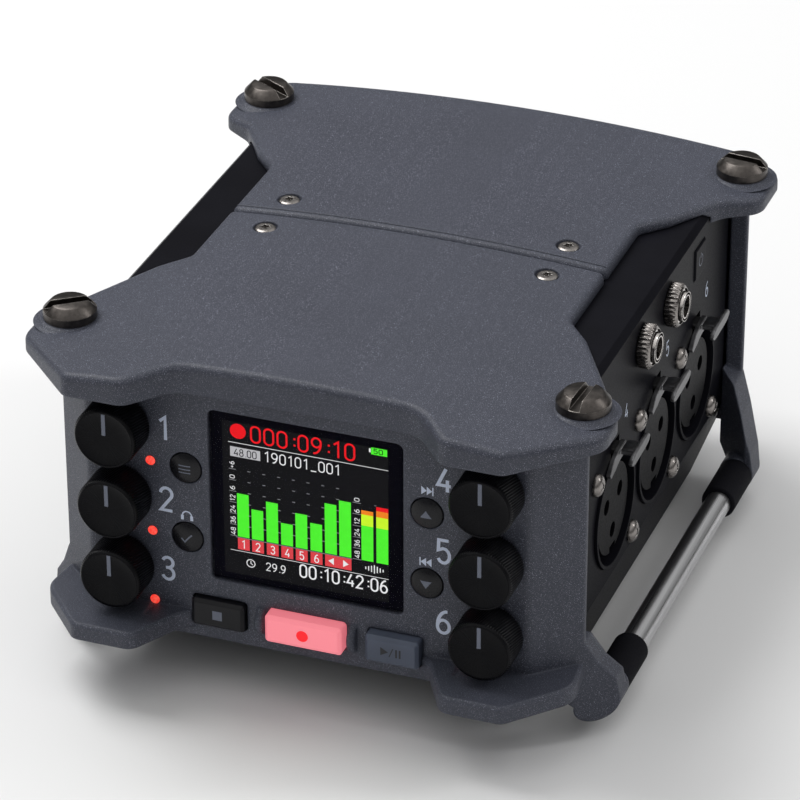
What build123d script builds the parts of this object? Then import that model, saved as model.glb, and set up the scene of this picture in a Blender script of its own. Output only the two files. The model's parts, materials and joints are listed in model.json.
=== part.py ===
from build123d import *
import os
from math import cos, radians, sin

# A portable multitrack field recorder. Millimetres. X to the right, Y to the back, Z up.
# The origin is under the middle of the recorder's box, on the surface that it stands on.

# ---------------------------------------------------------------- driving dimensions
PANEL_Y = -49.4  # outer face of the control panel
PANEL_T = 2.4  # thickness of the casting's front and rear walls
SEAM_Y = 0.85  # cross joint between the two castings, and their mirror plane
SEAM_GAP = 0.2
REAR_Y = 51.1  # outer face of the rear wall
REAR_EDGE_Y = 51.9  # rear edge of the top
SCREEN_Z = 37.3  # height of the display's centre
CROWN_Z = 61.95  # highest point of the top
CROWN_R = 400.0  # radius of the top's cross curve
SLAB_Z = 56.6  # underside of the top's overhang
LOBE_X = 48.2  # half the width over the corner lobes
LOBE_REACH = 10.5  # how far the front lobes stand out from the panel
WAIST_X = 32.5  # half the width of the top between the lobes
FLANK_X = 44.0  # half the width over the castings' side walls
CORNER_X = 37.0  # where the front wall turns into the slanted corner
CORNER_DEPTH = 6.5
FLANK_DEPTH = 7.6  # how far the castings' side walls reach round the body
CASTING_Z = 12.1  # underside of the lower lobes
PANEL_BOTTOM_Z = 10.3

BODY_X = 41.0  # half the width of the black body
BODY_TOP_Z = 58.6
BODY_BOTTOM_Z = 3.9
BODY_FRONT_Y = -44.0
BODY_REAR_Y = 48.5
BODY_T = 1.8
FLOOR_T = 3.0
FRONT_CUT = (3.95, 6.05)  # the body's cut corners: inwards, and back from the panel
REAR_CUT = (3.5, 5.85)
FIT = 0.15  # gap between nested covers

KNOB_X = 31.1
KNOB_Z = [SCREEN_Z + 10.3 - 12.86 * i for i in range(3)]
KNOB_R = 5.3
KNOB_FRONT_Y = PANEL_Y - 6.7
KNOB_BACK_Y = PANEL_Y - 0.5
SHAFT_R = 1.5
BUSH_R = 2.4
BUTTON_X = 20.2
BUTTON_Z = [SCREEN_Z + 3.8, SCREEN_Z - 8.9]
BUTTON_R = 2.6
PIPE_X = 26.2
PIPE_R = 0.8
PIPE_Z = [z - 6.3 for z in KNOB_Z]
KEY_Z = SCREEN_Z - 21.8
KEY_H = 5.0
KEYS = {"stop_key": (-14.9, 9.0, 1.4), "record_key": (0.0, 13.0, 2.3), "play_key": (14.9, 9.0, 2.1)}
KEY_GAP = 0.2
GUARD_X = 7.8
WINDOW_W = 32.6
WINDOW_H = 31.0
WINDOW_Z = SCREEN_Z - 0.3
BOARD_Y = -43.4  # front face of the panel's circuit board

SCREW_X = 42.7  # thumb screws
SCREW_Y = [SEAM_Y - 42.45, SEAM_Y + 42.45]
THUMB_R = 4.3
THUMB_BOSS_R = 4.45
THUMB_SHANK_R = 1.6
THUMB_SLOT_W = 1.7
THUMB_SLOT_DEPTH = 1.35
THUMB_TURNS = {(False, True): -30, (False, False): 37, (True, False): 87, (True, True): -7}
THUMB_TIP_Z = 57.5
THUMB_EDGE = (1.4, 0.8)  # the heads' bevel, inwards and down
BOSS_Z = 60.1  # seat of the thumb screws
TOTAL_Z = 62.9
COVER_SCREW_X = 24.3
COVER_SCREW_Y = [SEAM_Y - 5.3, SEAM_Y + 5.4]

INPUT_Y = [-19.4, 2.6, 24.6]  # the three inputs of each side, front to rear
INPUT_Z = SCREEN_Z - 7.9
INPUT_R = 9.9
INSERT_R = 7.7
INPUT_SCREW = 9.6
JACK_Z = SCREEN_Z + 15.1
LEFT_JACK_Z = JACK_Z - 2.0  # headphone jack and volume wheel
JACK_Y = [-6.2, 8.6]
JACK_HOLE_R = 1.8
POWER_Y = 25.1
POWER_SIDE = 5.6
VOLUME_Y = -20.9
VOLUME_R = 3.2
CARD_Y = (19.6, 33.6)
CARD_Z = (49.6, 55.4)
USB_Y = 8.6
MAIN_BOARD_Z = 46.4

BAR_X = 45.8
BAR_Z = 6.5
BAR_R = 2.2
COLLAR_R = 2.95
BRACKET_END_Y = [PANEL_Y + 15.5, 2 * SEAM_Y - PANEL_Y - 15.5]
BAR_GRIP = 4.5  # length of the bar inside each bracket
BOSS_R = 3.0
WING_T = (3.6, 6.0)  # the front and rear brackets' wings
WING_TOP_Z = (18.6, 22.0)
COLLAR_L = 10.5

BUSH_THREAD_R = 2.55  # bore of the 1/4-20 tripod thread
FOOT_X = 27.0
FOOT_Y = [-22.0, 30.0]
FOOT_R = 4.5

CELL_R = 7.15
CELL_L = 50.5
CELL_X = 7.5
CELL_Z = [22.6, 37.6]
TRAY_FRONT_Y = -5.0
DOOR_Z = (14.6, 50.0)
DOOR_X = 38.0
DOOR_Y = (51.3, 54.3)
RAIL_Y = 59.9
PIN_Y = 53.3
PIN_Z = 12.4
PIN_R = 1.0
KNUCKLE_R = 1.9
KNUCKLE_X = 23.6


# ---------------------------------------------------------------- shape helpers
def block(x0, x1, y0, y1, z0, z1):
    return Pos((x0 + x1) / 2, (y0 + y1) / 2, (z0 + z1) / 2) * Box(x1 - x0, y1 - y0, z1 - z0)


def rod_x(radius, x0, x1, y, z):
    return Pos((x0 + x1) / 2, y, z) * Rot(0, 90, 0) * Cylinder(radius, abs(x1 - x0))


def rod_y(radius, x, y0, y1, z):
    return Pos(x, (y0 + y1) / 2, z) * Rot(90, 0, 0) * Cylinder(radius, y1 - y0)


def rod_z(radius, x, y, z0, z1):
    return Pos(x, y, (z0 + z1) / 2) * Cylinder(radius, z1 - z0)


def plate(points, radii, z0, z1):
    """A flat plate with rounded corners, from a plan outline."""
    face = make_face(FilletPolyline(*points, radius=radii, close=True))
    return extrude(Pos(0, 0, z0) * face, z1 - z0)


def bar_along_y(points, y0, y1):
    """A bar with an X, Z section."""
    face = make_face(Polyline(*points, close=True))
    return extrude(Plane.XZ.offset(-y0) * face, y0 - y1)


def bar_along_x(points, x0, x1):
    """A bar with a Y, Z section."""
    face = make_face(Polyline(*points, close=True))
    return extrude(Plane.YZ.offset(x0) * face, x1 - x0)


def mirrored(shape):
    return mirror(shape, Plane.YZ)


def rounded_block(x0, x1, y0, y1, z0, z1, radius):
    """A block whose four edges along Y are rounded."""
    body = block(x0, x1, y0, y1, z0, z1)
    return fillet(body.edges().filter_by(Axis.Y), radius)


def save(name, *shapes):
    solids = [solid for shape in shapes for solid in shape.solids()]
    whole = solids[0] if len(solids) == 1 else Compound(solids)
    export_step(whole, "parts/" + name + ".step")


# ---------------------------------------------------------------- outlines
def crown():
    """The cross-curved space under the top's surface."""
    return rod_y(CROWN_R, 0, -90, 90, CROWN_Z - CROWN_R)


def front_outline():
    half = [
        ((20.0, PANEL_Y - 3.2), 6.0),
        ((26.0, PANEL_Y - LOBE_REACH), 3.0),
        ((36.0, PANEL_Y - LOBE_REACH), 2.0),
        ((LOBE_X, PANEL_Y + 1.6), 5.0),
        ((LOBE_X, PANEL_Y + 8.4), 5.0),
        ((36.5, PANEL_Y + 28.5), 3.0),
        ((WAIST_X, PANEL_Y + 33.0), 2.2),
        ((WAIST_X, SEAM_Y - SEAM_GAP / 2), 1.2),
    ]
    return closed_outline(half)


def rear_outline():
    half = [
        ((WAIST_X, SEAM_Y + SEAM_GAP / 2), 1.2),
        ((WAIST_X, 2 * SEAM_Y - PANEL_Y - 33.0), 2.2),
        ((36.5, 2 * SEAM_Y - PANEL_Y - 28.5), 3.0),
        ((42.4, REAR_EDGE_Y - 19.4), 4.0),
        ((LOBE_X, REAR_EDGE_Y - 15.4), 4.0),
        ((LOBE_X, REAR_EDGE_Y - 4.9), 3.0),
        ((43.0, REAR_EDGE_Y), 6.0),
    ]
    return closed_outline(half)


def closed_outline(half):
    """Points and corner radii of an outline, from its right half."""
    left = [((-x, y), radius) for (x, y), radius in reversed(half)]
    both = half + left
    return [point for point, _ in both], [radius for _, radius in both]


def body_space(grow, front_y, rear_y):
    """The black body's outer shape, grown by a gap, between two planes."""
    side, top, bottom = BODY_X + grow, BODY_TOP_Z + grow, BODY_BOTTOM_Z - grow
    section = [
        (side - 1.0, top), (side, top - 1.0), (side, 17.3), (37.0 + grow, bottom),
    ]
    section += [(-x, z) for x, z in reversed(section)]
    slope = [
        (-60, top + 1), (-60, 12.4 - grow), (PANEL_Y + 2.6, 12.4 - grow), (-30.0, bottom),
        (38.0, bottom), (REAR_Y - 1.9, 12.4 - grow), (60, 12.4 - grow), (60, top + 1),
    ]
    plan = [
        (side - FRONT_CUT[0], PANEL_Y + PANEL_T - 0.05), (side, PANEL_Y + FRONT_CUT[1]),
        (side, REAR_Y - REAR_CUT[1]), (side - REAR_CUT[0], REAR_Y - PANEL_T + 0.05),
    ]
    plan += [(-x, y) for x, y in reversed(plan)]
    corners = extrude(make_face(Polyline(*plan, close=True)), top + 1)
    return bar_along_y(section, front_y, rear_y) & bar_along_x(slope, -60, 60) & corners


def casting_top(outline):
    """A top cover: a thick plate with a crowned face and soft edges."""
    points, radii = outline
    slab = plate(points, radii, SLAB_Z, TOTAL_Z) & crown()
    face = slab.faces().sort_by(Axis.Z)[-1]
    outer = [edge for edge in face.edges() if abs(edge.center().Y - SEAM_Y) > 0.6]
    return fillet(outer, 1.2)


def thumb_bosses(y):
    boss = rod_z(THUMB_BOSS_R, SCREW_X, y, SLAB_Z + 1, BOSS_Z)
    hole = rod_z(THUMB_SHANK_R + 0.05, SCREW_X, y, THUMB_TIP_Z - 0.2, TOTAL_Z)
    return [boss, mirrored(boss)], [hole, mirrored(hole)]


def bracket(wing_t, top_z):
    """The foot of the front casting's right flank: a wing that goes on along the slanted
    corner, and a boss that holds one end of a side bar."""
    section = [
        (41.2, top_z + 1.5), (FLANK_X, top_z), (46.0, top_z - 4.6), (48.2, 10.6), (48.8, 6.5),
        (47.4, 4.0), (45.2, 3.9), (41.2, 9.0),
    ]
    wing = bar_along_y(section, PANEL_Y + 4.5, BRACKET_END_Y[0])
    wing = fillet(wing.edges().filter_by(Axis.Y).sort_by(Axis.X)[2:], 0.8)
    boss = rod_y(BOSS_R, BAR_X, PANEL_Y + 4.5, BRACKET_END_Y[0], BAR_Z)
    return (wing & behind_corner(wing_t)) + (boss & behind_corner(BRACKET_END_Y[0] - PANEL_Y))


def behind_corner(depth):
    """The space behind the right front corner's slanted face, to a depth along Y."""
    reach = BAR_X + 2 * COLLAR_R
    slant_y = PANEL_Y + (reach - CORNER_X) * CORNER_DEPTH / (FLANK_X - CORNER_X)
    corners = [(CORNER_X, PANEL_Y), (reach, slant_y), (reach, slant_y + depth), (CORNER_X, PANEL_Y + depth)]
    return extrude(make_face(Polyline(*corners, close=True)), SCREEN_Z)


# ---------------------------------------------------------------- castings
def front_casting():
    top = casting_top(front_outline())
    wall = [
        ((FLANK_X, PANEL_Y + FLANK_DEPTH), 0.3), ((FLANK_X, PANEL_Y + CORNER_DEPTH), 0.7),
        ((CORNER_X, PANEL_Y), 2.0),
    ]
    points, radii = closed_outline(wall)
    casting = top + plate(points, radii, PANEL_BOTTOM_Z, SLAB_Z + 1)
    lobe = plate(
        [(17.6, PANEL_Y + 1), (21.4, PANEL_Y - 2.2), (26.0, PANEL_Y - LOBE_REACH),
         (36.2, PANEL_Y - LOBE_REACH), (44.9, PANEL_Y - 0.8), (FLANK_X, PANEL_Y + 6.5), (36.0, PANEL_Y + 5)],
        [0.5, 4.0, 2.5, 2.0, 5.5, 0.5, 0.5], CASTING_Z, CASTING_Z + 2.9)
    shelf = lobe.faces().sort_by(Axis.Z)[-1]
    lobe = chamfer([edge for edge in shelf.edges() if edge.center().Y < PANEL_Y - 1], 0.5)
    casting += [lobe, mirrored(lobe)]
    leg = bracket(WING_T[0], WING_TOP_Z[0])
    casting += [leg, mirrored(leg)]
    bosses, holes = thumb_bosses(SCREW_Y[0])
    casting += bosses
    for x in (-GUARD_X, GUARD_X):
        casting += fillet(rod_x(2.8, x - 0.7, x + 0.7, PANEL_Y + 0.9, KEY_Z).edges(), 0.6)
    casting -= body_space(FIT, PANEL_Y + PANEL_T, 10)
    casting -= holes
    casting -= front_panel_cuts()
    return casting


def front_panel_cuts():
    cuts = []
    outer, inner = PANEL_Y - 4, PANEL_Y + PANEL_T + 1
    for side in (-1, 1):
        cuts += [rod_y(BUSH_R + 0.1, side * KNOB_X, outer, inner, z) for z in KNOB_Z]
        cuts += [rod_y(PIPE_R, side * PIPE_X, outer, inner, z) for z in PIPE_Z]
        cuts += [rod_y(BUTTON_R + 0.2, side * BUTTON_X, outer, inner, z) for z in BUTTON_Z]
        cuts += [rod_y(BAR_R, side * BAR_X, BRACKET_END_Y[0] - BAR_GRIP, BRACKET_END_Y[0] + 1, BAR_Z)]
        cuts += [rod_z(1.0, side * COVER_SCREW_X, COVER_SCREW_Y[0], 50, TOTAL_Z)]
        cuts += [rod_z(2.05, side * COVER_SCREW_X, COVER_SCREW_Y[0], CROWN_Z - 1.35, TOTAL_Z)]
    for x, width, _ in KEYS.values():
        half_w, half_h = width / 2 + KEY_GAP, KEY_H / 2 + KEY_GAP
        cuts += [rounded_block(x - half_w, x + half_w, outer, inner, KEY_Z - half_h, KEY_Z + half_h, 0.7)]
    half_w, half_h = WINDOW_W / 2, WINDOW_H / 2
    window = rounded_block(
        -half_w, half_w, PANEL_Y - 0.2, inner, WINDOW_Z - half_h, WINDOW_Z + half_h, 1.2)
    splay = Pos(0, PANEL_Y + 0.45, WINDOW_Z) * Plane.XZ * loft([
        RectangleRounded(WINDOW_W, WINDOW_H, 1.2),
        Pos(0, 0, 0.9) * RectangleRounded(WINDOW_W + 1.8, WINDOW_H + 1.8, 2.1)])
    return cuts + [window, splay]


def rear_casting():
    top = casting_top(rear_outline())
    wall = [
        ((37.5, REAR_Y), 2.0), ((FLANK_X, REAR_Y - CORNER_DEPTH), 0.7),
        ((FLANK_X, REAR_Y - FLANK_DEPTH), 0.3),
    ]
    points, radii = closed_outline(wall)
    casting = top + plate(points, radii, CASTING_Z, SLAB_Z + 1)
    leg = mirror(bracket(WING_T[1], WING_TOP_Z[1]), Plane.XZ.offset(-SEAM_Y))
    casting += [leg, mirrored(leg)]
    bosses, holes = thumb_bosses(SCREW_Y[1])
    casting += bosses
    knuckle = rod_x(KNUCKLE_R, KNUCKLE_X + 0.4, 36, PIN_Y, PIN_Z)
    knuckle += block(KNUCKLE_X + 0.4, 36, REAR_Y - 1, PIN_Y, PIN_Z - KNUCKLE_R, PIN_Z + KNUCKLE_R)
    casting += [knuckle, mirrored(knuckle)]
    casting -= body_space(FIT, -10, REAR_Y - PANEL_T)
    casting -= holes
    casting -= block(-17, 17, 40, 60, 14.2, 46.0)
    casting -= rod_x(PIN_R, -36, 36, PIN_Y, PIN_Z)
    lip = block(-60, 60, SEAM_Y + 1.2, SEAM_Y + 1.5, 50, 70) - rod_y(
        CROWN_R - 0.3, 0, -90, 90, CROWN_Z - CROWN_R)
    casting -= lip
    for side in (-1, 1):
        casting -= rod_y(BAR_R, side * BAR_X, BRACKET_END_Y[1] - 1, BRACKET_END_Y[1] + BAR_GRIP, BAR_Z)
        casting -= rod_z(1.0, side * COVER_SCREW_X, COVER_SCREW_Y[1], 50, TOTAL_Z)
        casting -= rod_z(2.05, side * COVER_SCREW_X, COVER_SCREW_Y[1], CROWN_Z - 1.35, TOTAL_Z)
        screw_y, screw_z = INPUT_Y[2] + INPUT_SCREW, INPUT_Z - INPUT_SCREW
        casting -= rod_x(2.2, side * 40, side * 43, screw_y, screw_z)
    return casting


# ---------------------------------------------------------------- black body
def lever_slot(side, y):
    x0, x1 = sorted((side * (BODY_X - BODY_T - 1), side * (BODY_X + 1)))
    return block(x0, x1, y - 2.1, y + 2.1, INPUT_Z + 9, INPUT_Z + 12.7)


def body_shell():
    inner_top, inner_side = BODY_TOP_Z - BODY_T, BODY_X - BODY_T
    section = [(inner_side, inner_top), (inner_side, 17.5), (36.0, BODY_BOTTOM_Z + FLOOR_T)]
    section += [(-x, z) for x, z in reversed(section)]
    slope = [
        (-60, 60), (-60, 14.6), (PANEL_Y + 2.6, 14.6), (-31.6, BODY_BOTTOM_Z + FLOOR_T),
        (39.0, BODY_BOTTOM_Z + FLOOR_T), (REAR_Y - 1.9, 14.6), (60, 14.6), (60, 60),
    ]
    shell = body_space(0, BODY_FRONT_Y, BODY_REAR_Y)
    shell -= bar_along_y(section, -60, 60) & bar_along_x(slope, -60, 60)
    for side in (-1, 1):
        inner, outer = side * (inner_side - 1), side * (BODY_X + 2)
        for y in INPUT_Y:
            shell -= rod_x(INPUT_R + 0.1, inner, outer, y, INPUT_Z)
            shell -= lever_slot(side, y)
            for sign in (-1, 1):
                shell -= rod_x(1.1, inner, outer, y + sign * INPUT_SCREW, INPUT_Z - sign * INPUT_SCREW)
        for y in COVER_SCREW_Y:
            shell -= rod_z(0.95, side * COVER_SCREW_X, y, 50, 60)
        x0, x1 = sorted((side * (BODY_X - 0.8), side * (BODY_X + 1)))
        shell -= block(x0, x1, BODY_FRONT_Y - 1, PANEL_Y + FLANK_DEPTH, 0, 57.6)
        shell -= block(x0, x1, REAR_Y - FLANK_DEPTH - 1.6, BODY_REAR_Y + 1, 0, 57.6)
    for y in JACK_Y:
        shell -= rod_x(3.1, 38, 43, y, JACK_Z)
    shell -= rod_x(3.1, -43, -38, JACK_Y[0], LEFT_JACK_Z)
    shell -= rod_x(BUSH_R + 0.1, -43, -38, VOLUME_Y, LEFT_JACK_Z)
    half = POWER_SIDE / 2 + 0.15
    shell -= block(38, 43, POWER_Y - half, POWER_Y + half, JACK_Z - half, JACK_Z + half)
    shell -= block(-43, -38, USB_Y - 4.5, USB_Y + 4.5, JACK_Z - 1.6, JACK_Z + 1.6)
    y0, y1 = CARD_Y
    z0, z1 = CARD_Z
    shell -= block(-43, -BODY_X + 1.25, y0 - 0.2, y1 + 0.2, z0 - 0.1, z1 + 0.2)
    shell -= block(-43, -38, y0 + 1.4, y1 - 1.4, z0 + 0.9, z1 - 0.9)
    shell -= block(-33.1, 33.1, -27.1, 35.1, 3, BODY_BOTTOM_Z + 1.6)
    shell -= block(-29, 29, -16, 24, 3, 8)
    for side in (-1, 1):
        for y in (-24.5, 32.5):
            shell -= rod_z(0.9, side * 30.5, y, 3, 8)
    return shell


def bottom_cover():
    cover = block(-33.0, 33.0, -27.0, 35.0, BODY_BOTTOM_Z, BODY_BOTTOM_Z + 1.6)
    cover += rod_z(8.5, 0, 4, BODY_BOTTOM_Z, BODY_BOTTOM_Z + 6.0)
    cover -= rod_z(6.0, 0, 4, 3, 8.9)
    for x, y in bottom_screw_places():
        cover -= rod_z(2.1, x, y, 3, BODY_BOTTOM_Z + 0.8)
        cover -= rod_z(1.0, x, y, 3, 8)
    return cover


def bottom_screw_places():
    return [(x, y) for x in (-30.5, 30.5) for y in (-24.5, 32.5)]


def bottom_screws():
    return [
        rod_z(2.05, x, y, BODY_BOTTOM_Z + 0.1, BODY_BOTTOM_Z + 0.8) + rod_z(0.9, x, y, 4.6, 7.4)
        for x, y in bottom_screw_places()
    ]


def tripod_bush():
    return rod_z(6.0, 0, 4, BODY_BOTTOM_Z, 8.9) - rod_z(BUSH_THREAD_R, 0, 4, 3, 8.4)


def feet():
    places = [(x, y) for x in (-FOOT_X, FOOT_X) for y in FOOT_Y]
    pads = [rod_z(FOOT_R, x, y, 0, BODY_BOTTOM_Z) for x, y in places]
    return [chamfer(pad.edges().sort_by(Axis.Z)[0], 0.6) for pad in pads]


# ---------------------------------------------------------------- display
def display_window():
    half_w, half_h = WINDOW_W / 2 - 0.05, WINDOW_H / 2 - 0.05
    y0, y1 = PANEL_Y + 0.4, PANEL_Y + 1.6
    return rounded_block(-half_w, half_w, y0, y1, WINDOW_Z - half_h, WINDOW_Z + half_h, 1.1)


def display_gasket():
    half_w, half_h = WINDOW_W / 2 - 0.2, WINDOW_H / 2 - 0.2
    y0, y1 = PANEL_Y + 1.6, PANEL_Y + 2.4
    ring = rounded_block(-half_w, half_w, y0, y1, WINDOW_Z - half_h, WINDOW_Z + half_h, 1.1)
    return ring - block(-14.4, 14.4, y0 - 1, y1 + 1, SCREEN_Z - 14.4, SCREEN_Z + 14.4)


def display_module():
    glass = block(-15.8, 15.8, PANEL_Y + 2.45, PANEL_Y + 4.0, SCREEN_Z - 15.0, SCREEN_Z + 14.6)
    return glass + block(-16.4, 16.4, PANEL_Y + 3.2, PANEL_Y + 5.0, SCREEN_Z - 15.6, SCREEN_Z + 15.0)


# ---------------------------------------------------------------- panel controls
def knob(x, z):
    cap = rod_y(KNOB_R, x, KNOB_FRONT_Y, KNOB_BACK_Y, z)
    cap = chamfer(cap.edges().sort_by(Axis.Y)[0], 0.45)
    shaft = rod_y(SHAFT_R, x, KNOB_FRONT_Y + 1.6, BOARD_Y - 1.8, z)
    return [cap - rod_y(SHAFT_R, x, KNOB_FRONT_Y + 1.6, KNOB_BACK_Y + 1, z), shaft]


def potentiometers():
    pots = []
    for side in (-1, 1):
        for z in KNOB_Z:
            x = side * KNOB_X
            pot = block(x - 4.5, x + 4.5, PANEL_Y + 2.5, BOARD_Y, z - 4.5, z + 4.5)
            pot += rod_y(BUSH_R, x, PANEL_Y - 0.3, PANEL_Y + 3, z)
            pots.append(pot - rod_y(SHAFT_R + 0.04, x, PANEL_Y - 1, BOARD_Y - 1.5, z))
    side_pot = block(-39.1, -33.0, VOLUME_Y - 4.4, VOLUME_Y + 4.4, MAIN_BOARD_Z + 1.6, 56.5)
    side_pot += rod_x(BUSH_R, -41.2, -39.0, VOLUME_Y, LEFT_JACK_Z)
    pots.append(side_pot - rod_x(SHAFT_R + 0.04, -45, -35, VOLUME_Y, LEFT_JACK_Z))
    return pots


def round_button(x, z):
    """A domed button with a flange behind the panel."""
    front, flange = PANEL_Y - 0.6, PANEL_Y + 2.8
    dome_r = 6.5
    cap = rod_y(BUTTON_R, x, front - 1, flange, z) & (Pos(x, front + dome_r, z) * Sphere(dome_r))
    return cap + rod_y(3.3, x, flange - 0.02, flange + 0.7, z) + rod_y(0.8, x, flange, BOARD_Y - 1.9, z)


def transport_key(x, width, proud):
    """A bar-shaped key with bevelled edges and a flange behind the panel."""
    half_w, half_h = width / 2, KEY_H / 2
    front, flange = PANEL_Y - proud, PANEL_Y + 2.8
    cap = rounded_block(x - half_w, x + half_w, front, flange, KEY_Z - half_h, KEY_Z + half_h, 0.6)
    cap = chamfer(cap.faces().sort_by(Axis.Y)[0].edges(), 0.55)
    z0, z1 = KEY_Z - half_h - 0.3, KEY_Z + half_h + 0.8
    cap += block(x - half_w - 0.8, x + half_w + 0.8, flange, flange + 0.7, z0, z1)
    return cap + rod_y(0.8, x, flange, BOARD_Y - 1.9, KEY_Z)


def key_switches():
    places = [(side * BUTTON_X, z) for side in (-1, 1) for z in BUTTON_Z]
    places += [(x, KEY_Z) for x, _, _ in KEYS.values()]
    bodies = [block(x - 2.2, x + 2.2, BOARD_Y - 1.2, BOARD_Y, z - 2.0, z + 2.0) for x, z in places]
    return bodies + [block(32.5, 37.3, POWER_Y - 2.4, POWER_Y + 2.4, MAIN_BOARD_Z + 1.6, 55.0)]


def light_pipes():
    pipes = []
    for side in (-1, 1):
        for z in PIPE_Z:
            pipes.append(rod_y(PIPE_R, side * PIPE_X, PANEL_Y - 0.1, BOARD_Y, z))
    return pipes


def power_button():
    half = POWER_SIDE / 2
    cap = block(38.6, 41.3, POWER_Y - half, POWER_Y + half, JACK_Z - half, JACK_Z + half)
    cap = chamfer(cap.faces().sort_by(Axis.X)[-1].edges(), 0.25)
    rim = half + 0.7
    return cap + block(37.9, 38.6, POWER_Y - rim, POWER_Y + rim, JACK_Z - rim, JACK_Z + rim)


def volume_wheel():
    cap = rod_x(VOLUME_R, -43.6, -41.4, VOLUME_Y, LEFT_JACK_Z)
    cap = chamfer(cap.edges().sort_by(Axis.X)[0], 0.3) - rod_x(SHAFT_R, -42.9, -41, VOLUME_Y, LEFT_JACK_Z)
    return [cap, rod_x(SHAFT_R, -42.9, -35.5, VOLUME_Y, LEFT_JACK_Z)]


# ---------------------------------------------------------------- side connectors
def input_places():
    return [(side, y) for side in (-1, 1) for y in INPUT_Y]


def input_shell(side, y):
    shell = rod_x(INPUT_R, side * 27.0, side * 41.5, y, INPUT_Z)
    return shell - rod_x(INPUT_R - 0.55, side * 28.2, side * 42.0, y, INPUT_Z)


def contact_places(y):
    """The three contacts of a female input: two on the upper side, one below."""
    angles = (150, 30, 270)
    return [(y + 3.9 * cos(radians(a)), INPUT_Z + 3.9 * sin(radians(a))) for a in angles]


def input_insert(side, y):
    insert = rod_x(INSERT_R, side * 28.2, side * 40.9, y, INPUT_Z)
    for contact_y, contact_z in contact_places(y):
        insert -= rod_x(1.3, side * 29.5, side * 42, contact_y, contact_z)
    x0, x1 = sorted((side * 33, side * 42))
    return insert - block(x0, x1, y - 1.4, y + 1.4, INPUT_Z - 8, INPUT_Z - 6.6)


def input_contacts():
    contacts = []
    for side, y in input_places():
        for contact_y, contact_z in contact_places(y):
            tube = rod_x(1.3, side * 29.5, side * 39.6, contact_y, contact_z)
            contacts.append(tube - rod_x(1.15, side * 31, side * 40, contact_y, contact_z))
    return contacts


def input_lever(side, y):
    """A release lever: a stem in the wall, an arm over the rim and a thumb paddle."""
    z = INPUT_Z
    ring = rod_x(12.5, 41.6, 42.5, y, z) - rod_x(10.4, 41, 43, y, z)
    ring &= block(41, 43, y - 7.0, y + 1.5, z + 8.6, z + 14)
    lever = ring + block(37.5, 42.0, y - 1.6, y + 1.6, z + 10.6, z + 12.0)
    lever += block(41.6, 45.4, y - 5.5, y + 1.5, z + 11.3, z + 12.2)
    paddle = block(44.9, 45.7, y - 5.5, y + 3.7, z + 11.1, z + 13.3)
    lever += fillet(paddle.edges().filter_by(Axis.X), 0.7)
    return lever if side > 0 else mirrored(lever)


def input_screws():
    screws = []
    for side, y in input_places():
        for sign in (-1, 1):
            head_y, head_z = y + sign * INPUT_SCREW, INPUT_Z - sign * INPUT_SCREW
            head = rod_x(1.9, BODY_X, BODY_X + 1.3, head_y, head_z)
            head = fillet(head.edges().sort_by(Axis.X)[-1], 0.9)
            head += rod_x(1.0, 36.0, BODY_X + 0.1, head_y, head_z)
            screws.append(head if side > 0 else mirrored(head))
    return screws


def jack_places():
    return [(1, JACK_Y[0], JACK_Z), (1, JACK_Y[1], JACK_Z), (-1, JACK_Y[0], LEFT_JACK_Z)]


def output_jack(side, y, z):
    jack = block(27.0, 39.1, y - 3.4, y + 3.4, MAIN_BOARD_Z + 1.6, 56.0)
    jack += rod_x(3.0, 39.0, 43.0, y, z) + rod_x(2.5, 42.9, 43.9, y, z)
    jack -= rod_x(JACK_HOLE_R, 29.0, 44.5, y, z)
    return jack if side > 0 else mirrored(jack)


def jack_nut(side, y, z):
    nut = rod_x(3.7, BODY_X, 43.3, y, z) - rod_x(3.0, 40, 44, y, z)
    return nut if side > 0 else mirrored(nut)


def usb_socket():
    shell = block(-41.1, -33.5, USB_Y - 4.5, USB_Y + 4.5, JACK_Z - 1.6, JACK_Z + 1.6)
    shell = fillet(shell.edges().filter_by(Axis.X), 1.5)
    mouth = block(-42, -34.5, USB_Y - 4.2, USB_Y + 4.2, JACK_Z - 1.3, JACK_Z + 1.3)
    tongue = block(-40.2, -34.5, USB_Y - 3.3, USB_Y + 3.3, JACK_Z - 0.35, JACK_Z + 0.35)
    mouth = fillet(mouth.edges().filter_by(Axis.X), 1.2)
    legs = block(-39.0, -33.5, USB_Y - 4.0, USB_Y + 4.0, MAIN_BOARD_Z + 1.6, JACK_Z - 1.3)
    return shell - mouth + tongue + legs


def card_socket():
    y0, y1 = CARD_Y
    body = block(-39.1, -24.0, y0 + 1.0, y1 - 1.0, MAIN_BOARD_Z + 1.6, 54.0)
    return body - block(-40, -25.0, y0 + 1.6, y1 - 1.6, 51.9, 52.9)


def card_door():
    return block(-BODY_X, -BODY_X + 1.1, CARD_Y[0], CARD_Y[1], CARD_Z[0], CARD_Z[1])


# ---------------------------------------------------------------- boards and power
def front_board():
    return block(-37.5, 37.5, BOARD_Y, BOARD_Y + 1.2, 13.3, 55.5)


def main_board():
    return block(-37.0, 37.0, BOARD_Y + 1.5, 45.0, MAIN_BOARD_Z, MAIN_BOARD_Z + 1.6)


def input_boards():
    board = block(25.3, 26.9, -31.0, 36.0, 18.0, 41.0)
    return [board, mirrored(board)]


def cell_places():
    return [(x, z) for x in (-CELL_X, CELL_X) for z in CELL_Z]


def battery_sled():
    tray = block(-16.2, 16.2, TRAY_FRONT_Y, 48.4, 14.4, 45.8)
    for x, z in cell_places():
        tray -= rod_y(CELL_R + 0.05, x, TRAY_FRONT_Y + 1.2, 47.2, z)
    return tray


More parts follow.
